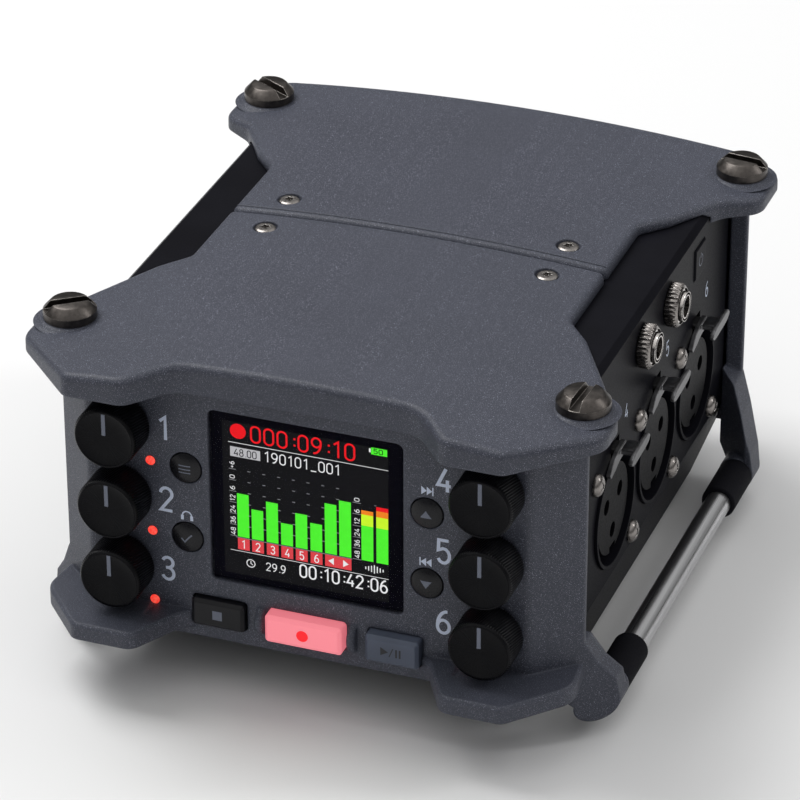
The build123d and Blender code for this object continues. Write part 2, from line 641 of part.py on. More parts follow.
def battery_cells():
    cells = []
    for x, z in cell_places():
        can = rod_y(CELL_R, x, TRAY_FRONT_Y + 1.9, TRAY_FRONT_Y + 1.9 + CELL_L - 1.2, z)
        cells.append(can + rod_y(2.7, x, TRAY_FRONT_Y + 51, TRAY_FRONT_Y + 51.9, z))
    return cells


def battery_contacts():
    return [rod_y(4.5, x, TRAY_FRONT_Y + 1.2, TRAY_FRONT_Y + 1.9, z) for x, z in cell_places()]


def battery_door():
    door = block(-DOOR_X, DOOR_X, *DOOR_Y, *DOOR_Z)
    door = fillet(door.edges().filter_by(Axis.Y), 2.5)
    door += rod_x(KNUCKLE_R, -KNUCKLE_X, KNUCKLE_X, PIN_Y, PIN_Z)
    door += block(-KNUCKLE_X, KNUCKLE_X, DOOR_Y[0] + 0.4, DOOR_Y[1], PIN_Z, DOOR_Z[0] + 1)
    for z0, lip in ((17.0, 1.5), (37.5, -1.5)):
        door += block(-34, 34, DOOR_Y[1], RAIL_Y, z0, z0 + 3.5)
        door += block(-34, 34, RAIL_Y - 2.0, RAIL_Y, min(z0, z0 + lip), max(z0, z0 + lip) + 3.5)
    door -= rod_x(PIN_R + 0.05, -40, 40, PIN_Y, PIN_Z)
    return door - block(-2.4, 2.4, 50, 60, 43.4, 49.0)


def door_latch():
    grip = block(-6, 6, DOOR_Y[1] + 0.2, DOOR_Y[1] + 2.4, 45.4, 48.8)
    for z in (46.1, 47.1, 48.1):
        grip -= block(-5, 5, DOOR_Y[1] + 2.1, DOOR_Y[1] + 3, z - 0.2, z + 0.2)
    grip += block(-2.1, 2.1, DOOR_Y[0] - 0.1, DOOR_Y[1] + 0.3, 46.0, 48.6)
    return grip


# ---------------------------------------------------------------- outside hardware
def thumb_screws():
    screws = []
    for x in (-SCREW_X, SCREW_X):
        for y in SCREW_Y:
            head = rod_z(THUMB_R, x, y, BOSS_Z, TOTAL_Z)
            head = chamfer(head.edges().sort_by(Axis.Z)[-1], *THUMB_EDGE)
            turn = THUMB_TURNS[(x > 0, y > 0)]
            head -= Pos(x, y, TOTAL_Z) * Rot(0, 0, turn) * Box(12, THUMB_SLOT_W, 2 * THUMB_SLOT_DEPTH)
            screws.append(head + rod_z(THUMB_SHANK_R, x, y, THUMB_TIP_Z, BOSS_Z))
    return screws


def cover_screws():
    screws = []
    for x in (-COVER_SCREW_X, COVER_SCREW_X):
        for y in COVER_SCREW_Y:
            head = rod_z(1.68, x, y, CROWN_Z - 1.35, CROWN_Z - 0.8)
            head -= Pos(x, y, CROWN_Z - 0.8) * extrude(RegularPolygon(0.8, 6), 0.35, both=True)
            screws.append(head + rod_z(0.9, x, y, 56.0, CROWN_Z - 1.35))
    return screws


def side_bar(side):
    return rod_y(BAR_R, side * BAR_X, BRACKET_END_Y[0] - BAR_GRIP, BRACKET_END_Y[1] + BAR_GRIP, BAR_Z)


def bar_collars():
    collars = []
    for side in (-1, 1):
        for y0 in (BRACKET_END_Y[0], BRACKET_END_Y[1] - COLLAR_L):
            sleeve = rod_y(COLLAR_R, side * BAR_X, y0, y0 + COLLAR_L, BAR_Z)
            sleeve = fillet(sleeve.edges().filter_by(GeomType.CIRCLE), 0.35)
            collars.append(sleeve - rod_y(BAR_R, side * BAR_X, y0 - 1, y0 + COLLAR_L + 1, BAR_Z))
    return collars


# ---------------------------------------------------------------- write every sub-part
os.makedirs("parts", exist_ok=True)
save("front_casting", front_casting())
save("rear_casting", rear_casting())
save("body_shell", body_shell())
save("bottom_cover", bottom_cover())
save("bottom_screws", *bottom_screws())
save("tripod_bush", tripod_bush())
save("feet", *feet())
save("display_window", display_window())
save("display_gasket", display_gasket())
save("display_module", display_module())
save("potentiometers", *potentiometers())
save("key_switches", *key_switches())
save("light_pipes", *light_pipes())
save("power_button", power_button())
save("volume_wheel", *volume_wheel())
save("input_contacts", *input_contacts())
save("input_screws", *input_screws())
save("usb_socket", usb_socket())
save("card_socket", card_socket())
save("card_door", card_door())
save("front_board", front_board())
save("main_board", main_board())
save("input_boards", *input_boards())
save("battery_sled", battery_sled())
save("battery_cells", *battery_cells())
save("battery_contacts", *battery_contacts())
save("battery_door", battery_door())
save("door_pin", rod_x(PIN_R, -36, 36, PIN_Y, PIN_Z))
save("door_latch", door_latch())
save("thumb_screws", *thumb_screws())
save("cover_screws", *cover_screws())
save("left_bar", side_bar(-1))
save("right_bar", side_bar(1))
save("bar_collars", *bar_collars())
save("output_jacks", *[output_jack(*place) for place in jack_places()])
save("jack_nuts", *[jack_nut(*place) for place in jack_places()])
for number, (side, z) in enumerate([(side, z) for side in (-1, 1) for z in KNOB_Z], 1):
    save(f"knob_{number}", *knob(side * KNOB_X, z))
for number, (side, y) in enumerate(input_places(), 1):
    save(f"input_lever_{number}", input_lever(side, y))
for word, side in (("left", -1), ("right", 1)):
    save(f"{word}_input_shells", *[input_shell(side, y) for y in INPUT_Y])
    save(f"{word}_input_inserts", *[input_insert(side, y) for y in INPUT_Y])
BUTTONS = {
    "menu_button": (-1, 0), "enter_button": (-1, 1), "up_button": (1, 0), "down_button": (1, 1),
}
for name, (side, row) in BUTTONS.items():
    save(name, round_button(side * BUTTON_X, BUTTON_Z[row]))
for name, (x, width, proud) in KEYS.items():
    save(name, transport_key(x, width, proud))
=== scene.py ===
import json
import math
import bpy
import bmesh
from mathutils import Matrix, Vector


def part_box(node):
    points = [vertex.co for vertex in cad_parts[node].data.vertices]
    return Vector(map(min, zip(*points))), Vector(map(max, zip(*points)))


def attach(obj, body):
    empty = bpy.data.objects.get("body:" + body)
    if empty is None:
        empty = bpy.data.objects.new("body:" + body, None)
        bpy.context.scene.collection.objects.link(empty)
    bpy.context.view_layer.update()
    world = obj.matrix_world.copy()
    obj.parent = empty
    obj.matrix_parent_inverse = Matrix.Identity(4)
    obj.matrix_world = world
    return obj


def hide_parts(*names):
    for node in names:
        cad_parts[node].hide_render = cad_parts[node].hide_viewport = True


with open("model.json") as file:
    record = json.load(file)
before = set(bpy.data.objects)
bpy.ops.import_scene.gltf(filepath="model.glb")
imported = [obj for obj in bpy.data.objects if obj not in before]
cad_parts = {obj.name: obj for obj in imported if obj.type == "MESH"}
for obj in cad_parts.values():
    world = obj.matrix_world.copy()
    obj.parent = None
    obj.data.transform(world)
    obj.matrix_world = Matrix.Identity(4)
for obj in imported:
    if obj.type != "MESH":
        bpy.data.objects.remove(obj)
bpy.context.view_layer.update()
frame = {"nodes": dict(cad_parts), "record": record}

MM = 0.001
NODES = frame["nodes"]
ROOT = "recorder"
SHARP = math.radians(32)


def centre_mm(node):
    low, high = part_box(node)
    return [(a + b) / 2 / MM for a, b in zip(low, high)]


def low_mm(node):
    return [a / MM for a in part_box(node)[0]]


def high_mm(node):
    return [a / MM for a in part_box(node)[1]]


# ---------------------------------------------------------------- materials
class Nodes:
    """A short way to write one material's node tree."""

    def __init__(self, name):
        self.mat = bpy.data.materials.new(name)
        self.mat.use_nodes = True
        self.tree = self.mat.node_tree
        self.bsdf = self.tree.nodes["Principled BSDF"]

    def add(self, kind, inputs=None, **settings):
        node = self.tree.nodes.new("ShaderNode" + kind)
        for key, value in settings.items():
            setattr(node, key, value)
        for key, value in (inputs or {}).items():
            self.put(node.inputs[key], value)
        return node

    def put(self, socket, value):
        if isinstance(value, bpy.types.NodeSocket):
            self.tree.links.new(value, socket)
        else:
            socket.default_value = value

    def shade(self, **values):
        for key, value in values.items():
            self.put(self.bsdf.inputs[key.replace("_", " ")], value)

    def object_space(self, scale=(1, 1, 1)):
        coords = self.add("TexCoord").outputs["Object"]
        return self.add("Mapping", {"Vector": coords, "Scale": scale}).outputs["Vector"]

    def noise(self, vector, scale, detail=3.0, roughness=0.55):
        inputs = {"Vector": vector, "Scale": scale, "Detail": detail, "Roughness": roughness}
        return self.add("TexNoise", inputs).outputs["Fac"]

    def ramp(self, fac, stops):
        node = self.add("ValToRGB", {"Fac": fac})
        elements = node.color_ramp.elements
        while len(elements) < len(stops):
            elements.new(0.5)
        for element, (place, colour) in zip(elements, stops):
            element.position = place
            element.color = (*colour, 1) if len(colour) == 3 else colour
        return node.outputs["Color"]

    def spread(self, fac, low, high, from_low=0.3, from_high=0.7):
        """Maps a value's middle range onto low to high."""
        inputs = {"Value": fac, "From Min": from_low, "From Max": from_high, "To Min": low, "To Max": high}
        return self.add("MapRange", inputs).outputs["Result"]

    def tone(self, fac, colour, low, high):
        """A colour that wavers in brightness."""
        stops = [(0, [c * low for c in colour]), (1, [c * high for c in colour])]
        return self.ramp(self.spread(fac, 0, 1), stops)

    def times(self, a, b):
        return self.add("Math", {0: a, 1: b}, operation="MULTIPLY").outputs[0]

    def mix(self, fac, a, b):
        node = self.add("Mix", {"Factor": fac}, data_type="RGBA")
        self.put(node.inputs[6], a)
        self.put(node.inputs[7], b)
        return node.outputs[2]

    def rounded(self, radius_mm):
        return self.add("Bevel", {"Radius": radius_mm * MM}, samples=6).outputs["Normal"]

    def bump(self, height, depth_mm, strength=1.0, normal=None):
        inputs = {"Height": height, "Distance": depth_mm * MM, "Strength": strength}
        if normal is not None:
            inputs["Normal"] = normal
        return self.add("Bump", inputs).outputs["Normal"]

    def edge_wear(self, radius_mm):
        """Near 1 on sharp edges, and the rounded normal that finds them."""
        normal = self.rounded(radius_mm)
        plain = self.add("NewGeometry").outputs["Normal"]
        dot = self.add("VectorMath", {0: normal, 1: plain}, operation="DOT_PRODUCT").outputs["Value"]
        return self.spread(dot, 1.0, 0.0, 0.80, 0.995), normal


def powder_coat(name, colour, sparkle):
    """Fine-textured paint with small light flecks, and lighter edges that are partly wear and partly a painted
    highlight along the bevels.
    """
    n = Nodes(name)
    at = n.object_space()
    grain = n.noise(at, 5200, 2.0)
    fleck = n.noise(at, 8800, 1.0, 0.4)
    patch = n.noise(at, 60, 3.0)
    speckled = n.mix(n.spread(fleck, 0.0, 1.0, 0.62, 0.74), n.tone(patch, colour, 0.94, 1.06), (*sparkle, 1))
    # The edges are lightened, partly for wear and partly as a painted highlight where light catches the
    # bevels.
    edge_mask, normal = n.edge_wear(0.6)
    wear_and_highlight = n.times(edge_mask, n.spread(grain, 0.1, 0.5))
    n.shade(Base_Color=n.mix(wear_and_highlight, speckled, (*[c * 2.4 for c in colour], 1)))
    n.shade(Roughness=n.spread(grain, 0.42, 0.56), Specular_IOR_Level=0.32)
    n.shade(Normal=n.bump(grain, 0.045, 0.42, normal))
    return n.mat


def moulded(name, colour, rough=(0.42, 0.55), scale=3800, depth=0.02, strength=0.35, edge=0.2, gloss=0.25):
    """Fine spark-eroded plastic or rubber."""
    n = Nodes(name)
    at = n.object_space()
    grain = n.noise(at, scale, 2.0)
    patch = n.noise(at, 90, 2.0)
    n.shade(Base_Color=n.tone(patch, colour, 0.85, 1.15), Roughness=n.spread(grain, *rough))
    n.shade(Specular_IOR_Level=gloss)
    n.shade(Normal=n.bump(grain, depth, strength, n.rounded(edge)))
    return n.mat


def worn_metal(name, colour, bright, rough=(0.28, 0.45), edge=0.22):
    """Plated metal whose edges have worn bright."""
    n = Nodes(name)
    at = n.object_space()
    cloud = n.noise(at, 900, 4.0, 0.6)
    fine = n.noise(at, 6000, 2.0)
    edge_mask, normal = n.edge_wear(edge)
    broken = n.times(edge_mask, n.spread(cloud, 0.35, 0.9))
    n.shade(Base_Color=n.mix(broken, n.tone(cloud, colour, 0.7, 1.35), (*bright, 1)), Metallic=1.0)
    n.shade(Roughness=n.spread(cloud, *rough), Normal=n.bump(fine, 0.01, 0.3, normal))
    return n.mat


def brushed(name, colour, scale, rough=(0.22, 0.42), depth=0.006):
    """Steel with fine drawing lines. scale is the streaks' frequency along X, Y and Z."""
    n = Nodes(name)
    streak = n.noise(n.object_space(scale), 1.0, 4.0, 0.65)
    n.shade(Base_Color=n.tone(streak, colour, 0.82, 1.08), Metallic=1.0, Roughness=n.spread(streak, *rough))
    n.shade(Normal=n.bump(streak, depth, 0.4))
    return n.mat


def printed(name, colour):
    """Pad-printed ink."""
    n = Nodes(name)
    grain = n.noise(n.object_space(), 5200, 2.0)
    n.shade(Base_Color=n.tone(grain, colour, 0.88, 1.06), Roughness=0.5, Normal=n.bump(grain, 0.03, 0.3))
    return n.mat


def lit(name, colour, strength=1.0, base=(0.0, 0.0, 0.0)):
    """A lit screen element, a little uneven like a backlit panel."""
    n = Nodes(name)
    tone = n.tone(n.noise(n.object_space(), 900, 1.0), colour, 0.95, 1.0)
    n.shade(Base_Color=(*base, 1), Roughness=0.3, Emission_Color=tone, Emission_Strength=strength)
    n.shade(Specular_IOR_Level=0.02)
    return n.mat


def knob_face():
    """Turned black plastic, with faint lighter rays painted into the black as a painted highlight, and a gloss
    that is drawn out around the axis.
    """
    n = Nodes("knob_face")
    parts = n.add("SeparateXYZ", {"Vector": n.object_space()})
    angle = n.add("Math", {0: parts.outputs["X"], 1: parts.outputs["Z"]}, operation="ARCTAN2").outputs[0]
    cosine = n.add("Math", {0: angle}, operation="COSINE").outputs[0]
    sine = n.add("Math", {0: angle}, operation="SINE").outputs[0]
    ring = n.add("CombineXYZ", {"X": cosine, "Y": sine}).outputs[0]
    highlight_rays = n.noise(ring, 11.0, 4.0, 0.7)
    # The lighter rays in the base colour are a painted highlight.
    blacks = [(0, (0.0010, 0.0010, 0.0016)), (1, (0.0034, 0.0034, 0.0048))]
    n.shade(Base_Color=n.ramp(n.spread(highlight_rays, 0, 1), blacks))
    n.shade(Roughness=n.spread(highlight_rays, 0.18, 0.3), Anisotropic=0.95, Specular_IOR_Level=0.08)
    n.shade(Tangent=n.add("Tangent", direction_type="RADIAL", axis="Y").outputs[0])
    return n.mat


def glass():
    """The screen's clear cover, with faint smears."""
    n = Nodes("window_glass")
    smear = n.noise(n.object_space(), 120, 2.0)
    n.shade(Base_Color=(0.006, 0.005, 0.016, 1), Roughness=n.spread(smear, 0.03, 0.08))
    n.shade(Alpha=0.05, Specular_IOR_Level=0.2)
    return n.mat


def glowing_key():
    """A translucent key lit from behind, brightest over its lamp."""
    n = Nodes("record_key_lit")
    at = n.object_space((1, 1, 1.6))
    away = n.add("VectorMath", {0: at}, operation="LENGTH").outputs["Value"]
    grain = n.noise(n.object_space(), 5000, 2.0)
    near = n.spread(away, 1.0, 0.0, 0.0005, 0.0075)
    glow = n.ramp(near, [(0, (0.86, 0.20, 0.25)), (0.5, (0.95, 0.44, 0.50)), (1, (1.0, 0.72, 0.78))])
    n.shade(Base_Color=(0.72, 0.22, 0.25, 1), Roughness=n.spread(grain, 0.3, 0.42))
    n.shade(Emission_Color=glow, Emission_Strength=0.62, Normal=n.bump(grain, 0.01, 0.2, n.rounded(0.25)))
    return n.mat


def lamp():
    """A lit status light."""
    n = Nodes("status_lamp")
    cloud = n.noise(n.object_space(), 2500, 2.0)
    glow = n.ramp(n.spread(cloud, 0, 1), [(0, (0.95, 0.02, 0.015)), (1, (1.0, 0.14, 0.09))])
    n.shade(Base_Color=(0.5, 0.02, 0.02, 1), Roughness=0.25, Emission_Color=glow, Emission_Strength=0.85)
    return n.mat


PAINT = powder_coat("powder_coat", (0.043, 0.047, 0.064), (0.30, 0.31, 0.38))
BODY = moulded("body_plastic", (0.0065, 0.0065, 0.009), (0.36, 0.46), gloss=0.03)
INSERT = moulded("insert_plastic", (0.0035, 0.0035, 0.0045), (0.3, 0.42), gloss=0.03)
RUBBER = moulded("rubber", (0.008, 0.008, 0.0105), (0.6, 0.75), 2600, 0.03, 0.4, 0.2, 0.05)
KNOB = moulded("knob_plastic", (0.0030, 0.0030, 0.0042), (0.26, 0.36), 5000, 0.01, 0.2, 0.08, 0.12)
KNOB_FACE = knob_face()
BUTTON = moulded("button_rubber", (0.005, 0.005, 0.007), (0.25, 0.36), 4200, 0.01, 0.25, 0.2)
KEY_BLACK = moulded("stop_key_plastic", (0.005, 0.005, 0.007), (0.3, 0.42), 4200, 0.01, 0.25, 0.25)
KEY_GREY = moulded("play_key_plastic", (0.085, 0.10, 0.14), (0.3, 0.42), 4200, 0.01, 0.2, 0.25)
KEY_RED = glowing_key()
PRINT = printed("panel_print", (0.54, 0.60, 0.74))
PRINT_DIM = printed("button_print", (0.12, 0.135, 0.18))
PRINT_DARK = printed("key_print", (0.010, 0.010, 0.014))
GUNMETAL = worn_metal("gunmetal", (0.085, 0.076, 0.070), (0.62, 0.58, 0.54))
NICKEL = worn_metal("nickel_plate", (0.60, 0.565, 0.54), (0.85, 0.82, 0.79), (0.14, 0.24), 0.1)
NUT = worn_metal("nut_nickel", (0.25, 0.232, 0.22), (0.80, 0.77, 0.74), (0.18, 0.28), 0.14)
SCREW = worn_metal("screw_nickel", (0.24, 0.222, 0.21), (0.80, 0.77, 0.74), (0.22, 0.34), 0.15)
LEVER = worn_metal("lever_steel", (0.13, 0.13, 0.135), (0.62, 0.62, 0.63), (0.34, 0.46), 0.2)
BAR = brushed("drawn_steel", (0.60, 0.60, 0.61), (6500, 30, 6500), (0.26, 0.36), 0.0015)
STAMPED = brushed("stamped_steel", (0.50, 0.50, 0.51), (260, 5200, 5200))
BRASS = brushed("machined_brass", (0.72, 0.53, 0.24), (900, 900, 5200))
GLASS = glass()
LAMP = lamp()
BORDER = moulded("screen_border", (0.0016, 0.0014, 0.0045), (0.3, 0.4), gloss=0.02)
BOARD = moulded("solder_mask", (0.012, 0.075, 0.028), (0.3, 0.45), 1500)
PART = moulded("component_resin", (0.035, 0.035, 0.04), (0.5, 0.62))
SLED = moulded("sled_plastic", (0.022, 0.022, 0.026))
CELL = brushed("cell_sleeve", (0.42, 0.43, 0.46), (900, 40, 900), (0.3, 0.45))
SLOT_LOOKS = {
    "casting": PAINT, "body_black": BODY, "knob_black": KNOB, "button_black": BUTTON,
    "key_black": KEY_BLACK, "key_grey": KEY_GREY, "key_record": KEY_RED, "window": GLASS,
    "screen": BORDER, "light_pipe": LAMP, "gunmetal": GUNMETAL, "nickel": NICKEL, "bar_steel": BAR,
    "rubber": RUBBER, "board": BOARD, "component": PART, "brass": BRASS, "cell": CELL, "sled": SLED,
    "usb_steel": STAMPED, "lever_steel": LEVER,
}
for part in frame["record"]["subparts"]:
    node = NODES[part["node"]]
    node.data.materials.clear()
    node.data.materials.append(INSERT if "inserts" in part["node"] else SLOT_LOOKS[part["material_slot"]])


# ---------------------------------------------------------------- mesh building
def piece(name, verts, faces, look, body, slot, at=(0, 0, 0), smooth=True, stands_for=(), which=None):
    """A mesh piece, in millimetres from the point at. look is a material, or a list that which indexes."""
    mesh = bpy.data.meshes.new(name)
    mesh.from_pydata([[c * MM for c in v] for v in verts], [], faces)
    mesh.validate()
    obj = bpy.data.objects.new(name, mesh)
    obj.location = [c * MM for c in at]
    bpy.context.scene.collection.objects.link(obj)
    for mat in look if which else [look]:
        mesh.materials.append(mat)
    if which:
        mesh.polygons.foreach_set("material_index", which)
    if smooth:
        mesh.polygons.foreach_set("use_smooth", [True] * len(mesh.polygons))
        mesh.set_sharp_from_angle(angle=SHARP)
    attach(obj, body)
    if stands_for:
        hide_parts(*stands_for)
    return obj


class Solid:
    """Collects vertices and faces of several shapes."""

    def __init__(self):
        self.verts, self.faces, self.kinds = [], [], []

    def add(self, verts, faces, kind=0):
        base = len(self.verts)
        self.verts += [tuple(v) for v in verts]
        self.faces += [tuple(i + base for i in f) for f in faces]
        self.kinds += [kind] * len(faces)

    def make(self, name, look, body, slot, **more):
        return piece(name, self.verts, self.faces, look, body, slot, **more)


def turned(profile, segments, radius_at=None):
    """Verts and faces of a turned shape about Z. profile is a list of (radius, height)."""
    verts = []
    for row, (radius, height) in enumerate(profile):
        for i in range(segments):
            angle = 2 * math.pi * i / segments
            r = radius if radius_at is None else radius_at(row, radius, height, angle)
            verts.append((r * math.cos(angle), r * math.sin(angle), height))
    return verts, skin(len(profile), segments, closed=False)


def capped(profile, segments, bottom=False):
    """A turned shape with its last ring closed, and its first one too if bottom is set."""
    verts, faces = turned(profile, segments)
    last = (len(profile) - 1) * segments
    faces.append(tuple(last + i for i in range(segments)))
    if bottom:
        faces.append(tuple(reversed(range(segments))))
    return verts, faces


def facing(verts, direction, at=(0, 0, 0)):
    """Turns shapes built about +Z to point along a direction, and moves them."""
    turn = Vector((0, 0, 1)).rotation_difference(Vector(direction)).to_matrix()
    return [tuple(turn @ Vector(v) + Vector(at)) for v in verts]


def turned_about_z(verts, degrees):
    spin = Matrix.Rotation(math.radians(degrees), 3, "Z")
    return [tuple(spin @ Vector(v)) for v in verts]


def flipped(faces):
    return [tuple(reversed(face)) for face in faces]


def skin(rows, count, closed=True):
    """Faces of a tube of equal rings, with both ends closed unless told otherwise."""
    faces = []
    for row in range(rows - 1):
        a, b = row * count, (row + 1) * count
        for i in range(count):
            j = (i + 1) % count
            faces.append((a + i, a + j, b + j, b + i))
    if closed:
        faces += [tuple(reversed(range(count))), tuple((rows - 1) * count + i for i in range(count))]
    return faces


def box_shape(x0, x1, y0, y1, z0, z1):
    verts = [(x, y, z) for x in (x0, x1) for y in (y0, y1) for z in (z0, z1)]
    faces = [(0, 1, 3, 2), (4, 6, 7, 5), (0, 4, 5, 1), (2, 3, 7, 6), (0, 2, 6, 4), (1, 5, 7, 3)]
    return verts, faces


def carve(obj, *cutters):
    """Cuts closed shapes, given as (verts, faces) in the object's own millimetres, out of a piece."""
    for verts, faces in cutters:
        mesh = bpy.data.meshes.new("cutter")
        mesh.from_pydata([[c * MM for c in v] for v in verts], [], faces)
        tool = bpy.data.objects.new("cutter", mesh)
        bpy.context.scene.collection.objects.link(tool)
        tool.matrix_world = obj.matrix_world.copy()
        cut = obj.modifiers.new("cut", "BOOLEAN")
        cut.object, cut.operation, cut.solver = tool, "DIFFERENCE", "EXACT"
        bpy.context.view_layer.update()
        done = bpy.data.meshes.new_from_object(obj.evaluated_get(bpy.context.evaluated_depsgraph_get()))
        obj.modifiers.remove(cut)
        old, obj.data = obj.data, done
        bpy.data.meshes.remove(old)
        bpy.data.objects.remove(tool)
        bpy.data.meshes.remove(mesh)
    obj.data.set_sharp_from_angle(angle=SHARP)


def bevelled(obj, width_mm):
    """Rounds a piece's sharp edges off."""
    bevel = obj.modifiers.new("edges", "BEVEL")
    bevel.width, bevel.segments, bevel.limit_method = width_mm * MM, 2, "ANGLE"
    bevel.harden_normals = True


def outward(obj):
    """Turns every face of a piece the right way out."""
    bm = bmesh.new()
    bm.from_mesh(obj.data)
    bmesh.ops.recalc_face_normals(bm, faces=bm.faces)
    bm.to_mesh(obj.data)
    bm.free()


# ---------------------------------------------------------------- flat marks
def arc(cx, cy, rx, ry, start, end, steps=10):
    out = []
    for i in range(steps + 1):
        a = math.radians(start + (end - start) * i / steps)
        out.append((cx + rx * math.cos(a), cy + ry * math.sin(a)))
    return out


def glyph(char):
    """Centre lines of one digit or sign, one unit high and about 0.5 wide, as (points, closed)."""
    w, r = 0.5, 0.25
    if char == "0":
        return [(arc(r, 1 - r, r, r, 0, 180) + arc(r, r, r, r, 180, 360), True)]
    if char == "1":
        return [([(0.06, 0.80), (0.30, 1.0), (0.30, 0.0)], False)]
    if char == "2":
        return [(arc(r, 0.74, r, 0.26, 175, -30) + [(0.0, 0.0), (w, 0.0)], False)]
    if char == "3":
        top = arc(r, 0.77, 0.23, 0.23, 160, -80) + [(0.16, 0.53)]
        return [(top, False), (arc(r, 0.27, r, 0.27, 80, -160), False)]
    if char == "4":
        return [([(0.34, 1.0), (0.0, 0.27), (0.54, 0.27)], False), ([(0.40, 0.52), (0.40, 0.0)], False)]
    if char == "5":
        return [([(0.46, 1.0), (0.05, 1.0), (0.03, 0.55)] + arc(r, 0.32, r, 0.32, 125, -155), False)]
    if char == "6":
        stem = [(0.42, 0.97)] + arc(0.42, 0.30, 0.42, 0.68, 100, 178)
        return [(stem, False), (arc(r, 0.29, r, 0.29, 0, 360, 20)[:-1], True)]
    if char == "8":
        top = arc(r, 0.76, 0.21, 0.24, 0, 360, 18)[:-1]
        return [(top, True), (arc(r, 0.27, r, 0.27, 0, 360, 18)[:-1], True)]
    if char == "9":
        return [([(w - x, 1 - y) for x, y in points], closed) for points, closed in glyph("6")]
    if char == "+":
        return [([(0.05, 0.45), (0.45, 0.45)], False), ([(0.25, 0.2), (0.25, 0.7)], False)]
    if char == "_":
        return [([(0.0, -0.06), (w, -0.06)], False)]
    if char == ":":
        return [([(0.2, 0.22), (0.2, 0.34)], False), ([(0.2, 0.62), (0.2, 0.74)], False)]
    if char == ".":
        return [([(0.14, 0.0), (0.14, 0.11)], False)]
    return []


ADVANCE = {":": 0.42, ".": 0.32, "1": 0.68}
DIGIT_ADVANCE, DIGIT_GAP = 0.74, 0.24
LAYERS, LAYER_STEP = 4, 0.004


class Flat:
    """Flat marks in a plane of their own, in u to the right and v up."""

    def __init__(self):
        self.verts, self.faces, self.layers = [], [], []
        self.layer = 0

    def polygon(self, points):
        base = len(self.verts)
        self.verts += list(points)
        self.layers += [self.layer] * len(points)
        self.faces.append(tuple(range(base, base + len(points))))

    def rect(self, u0, v0, u1, v1):
        u0, u1, v0, v1 = min(u0, u1), max(u0, u1), min(v0, v1), max(v0, v1)
        self.polygon([(u0, v0), (u1, v0), (u1, v1), (u0, v1)])

    def disc(self, u, v, radius, steps=40):
        self.polygon(arc(u, v, radius, radius, 0, 360, steps)[:-1])

    def stroke(self, points, width, closed=False):
        count, half, base = len(points), width / 2, len(self.verts)
        self.layer = (self.layer + 1) % LAYERS
        for i, (u, v) in enumerate(points):
            before = points[i - 1] if i or closed else None
            after = points[(i + 1) % count] if i < count - 1 or closed else None
            ways = []
            for a, b in ((before, (u, v)), ((u, v), after)):
                if a and b:
                    step = Vector((b[0] - a[0], b[1] - a[1]))
                    if step.length > 1e-9:
                        ways.append(step.normalized())
            way = sum(ways, Vector((0, 0))).normalized() if len(ways) > 1 else ways[0]
            side = Vector((-way.y, way.x))
            scale = half / max(0.5, abs(side.dot(Vector((-ways[0].y, ways[0].x)))))
            self.verts += [(u + side.x * scale, v + side.y * scale), (u - side.x * scale, v - side.y * scale)]
            self.layers += [self.layer] * 2
        for i in range(count if closed else count - 1):
            a, b = base + 2 * i, base + 2 * ((i + 1) % count)
            self.faces.append((a, a + 1, b + 1, b))

    def text(self, words, u, v, height, width=None, weight=0.12, aspect=1.0, turned_up=False):
        """Digits from the lower left corner. width spreads them over a length."""
        total = sum(ADVANCE.get(c, DIGIT_ADVANCE) for c in words) - DIGIT_GAP
        sx = height * aspect if width is None else width / total
        pen = 0.0
        for c in words:
            for points, closed in glyph(c):
                shaped = [((pen + x) * sx, y * height) for x, y in points]
                if turned_up:
                    shaped = [(-y, x) for x, y in shaped]
                self.stroke([(u + x, v + y) for x, y in shaped], weight * height, closed)
            pen += ADVANCE.get(c, DIGIT_ADVANCE)

    def make(self, name, place, look, slot, body=ROOT, out=(0, -1, 0)):
        """Crossing strokes lie a few micrometres apart, so that no two faces share a plane."""
        verts = []
        for (u, v), layer in zip(self.verts, self.layers):
            verts.append([c + o * layer * LAYER_STEP for c, o in zip(place(u, v), out)])
        piece(name, verts, self.faces, look, body, slot, smooth=False)


WINDOW_RECESS, HALF_SCREEN, PRINT_GAP = 0.4, 15.6, 0.02
PANEL_Y = low_mm("display_window")[1] - WINDOW_RECESS
SCREEN_Z = low_mm("display_module")[2] + HALF_SCREEN


def on_panel(u, v):
    """Places marks on the front panel."""
    return (u, PANEL_Y - PRINT_GAP, v)


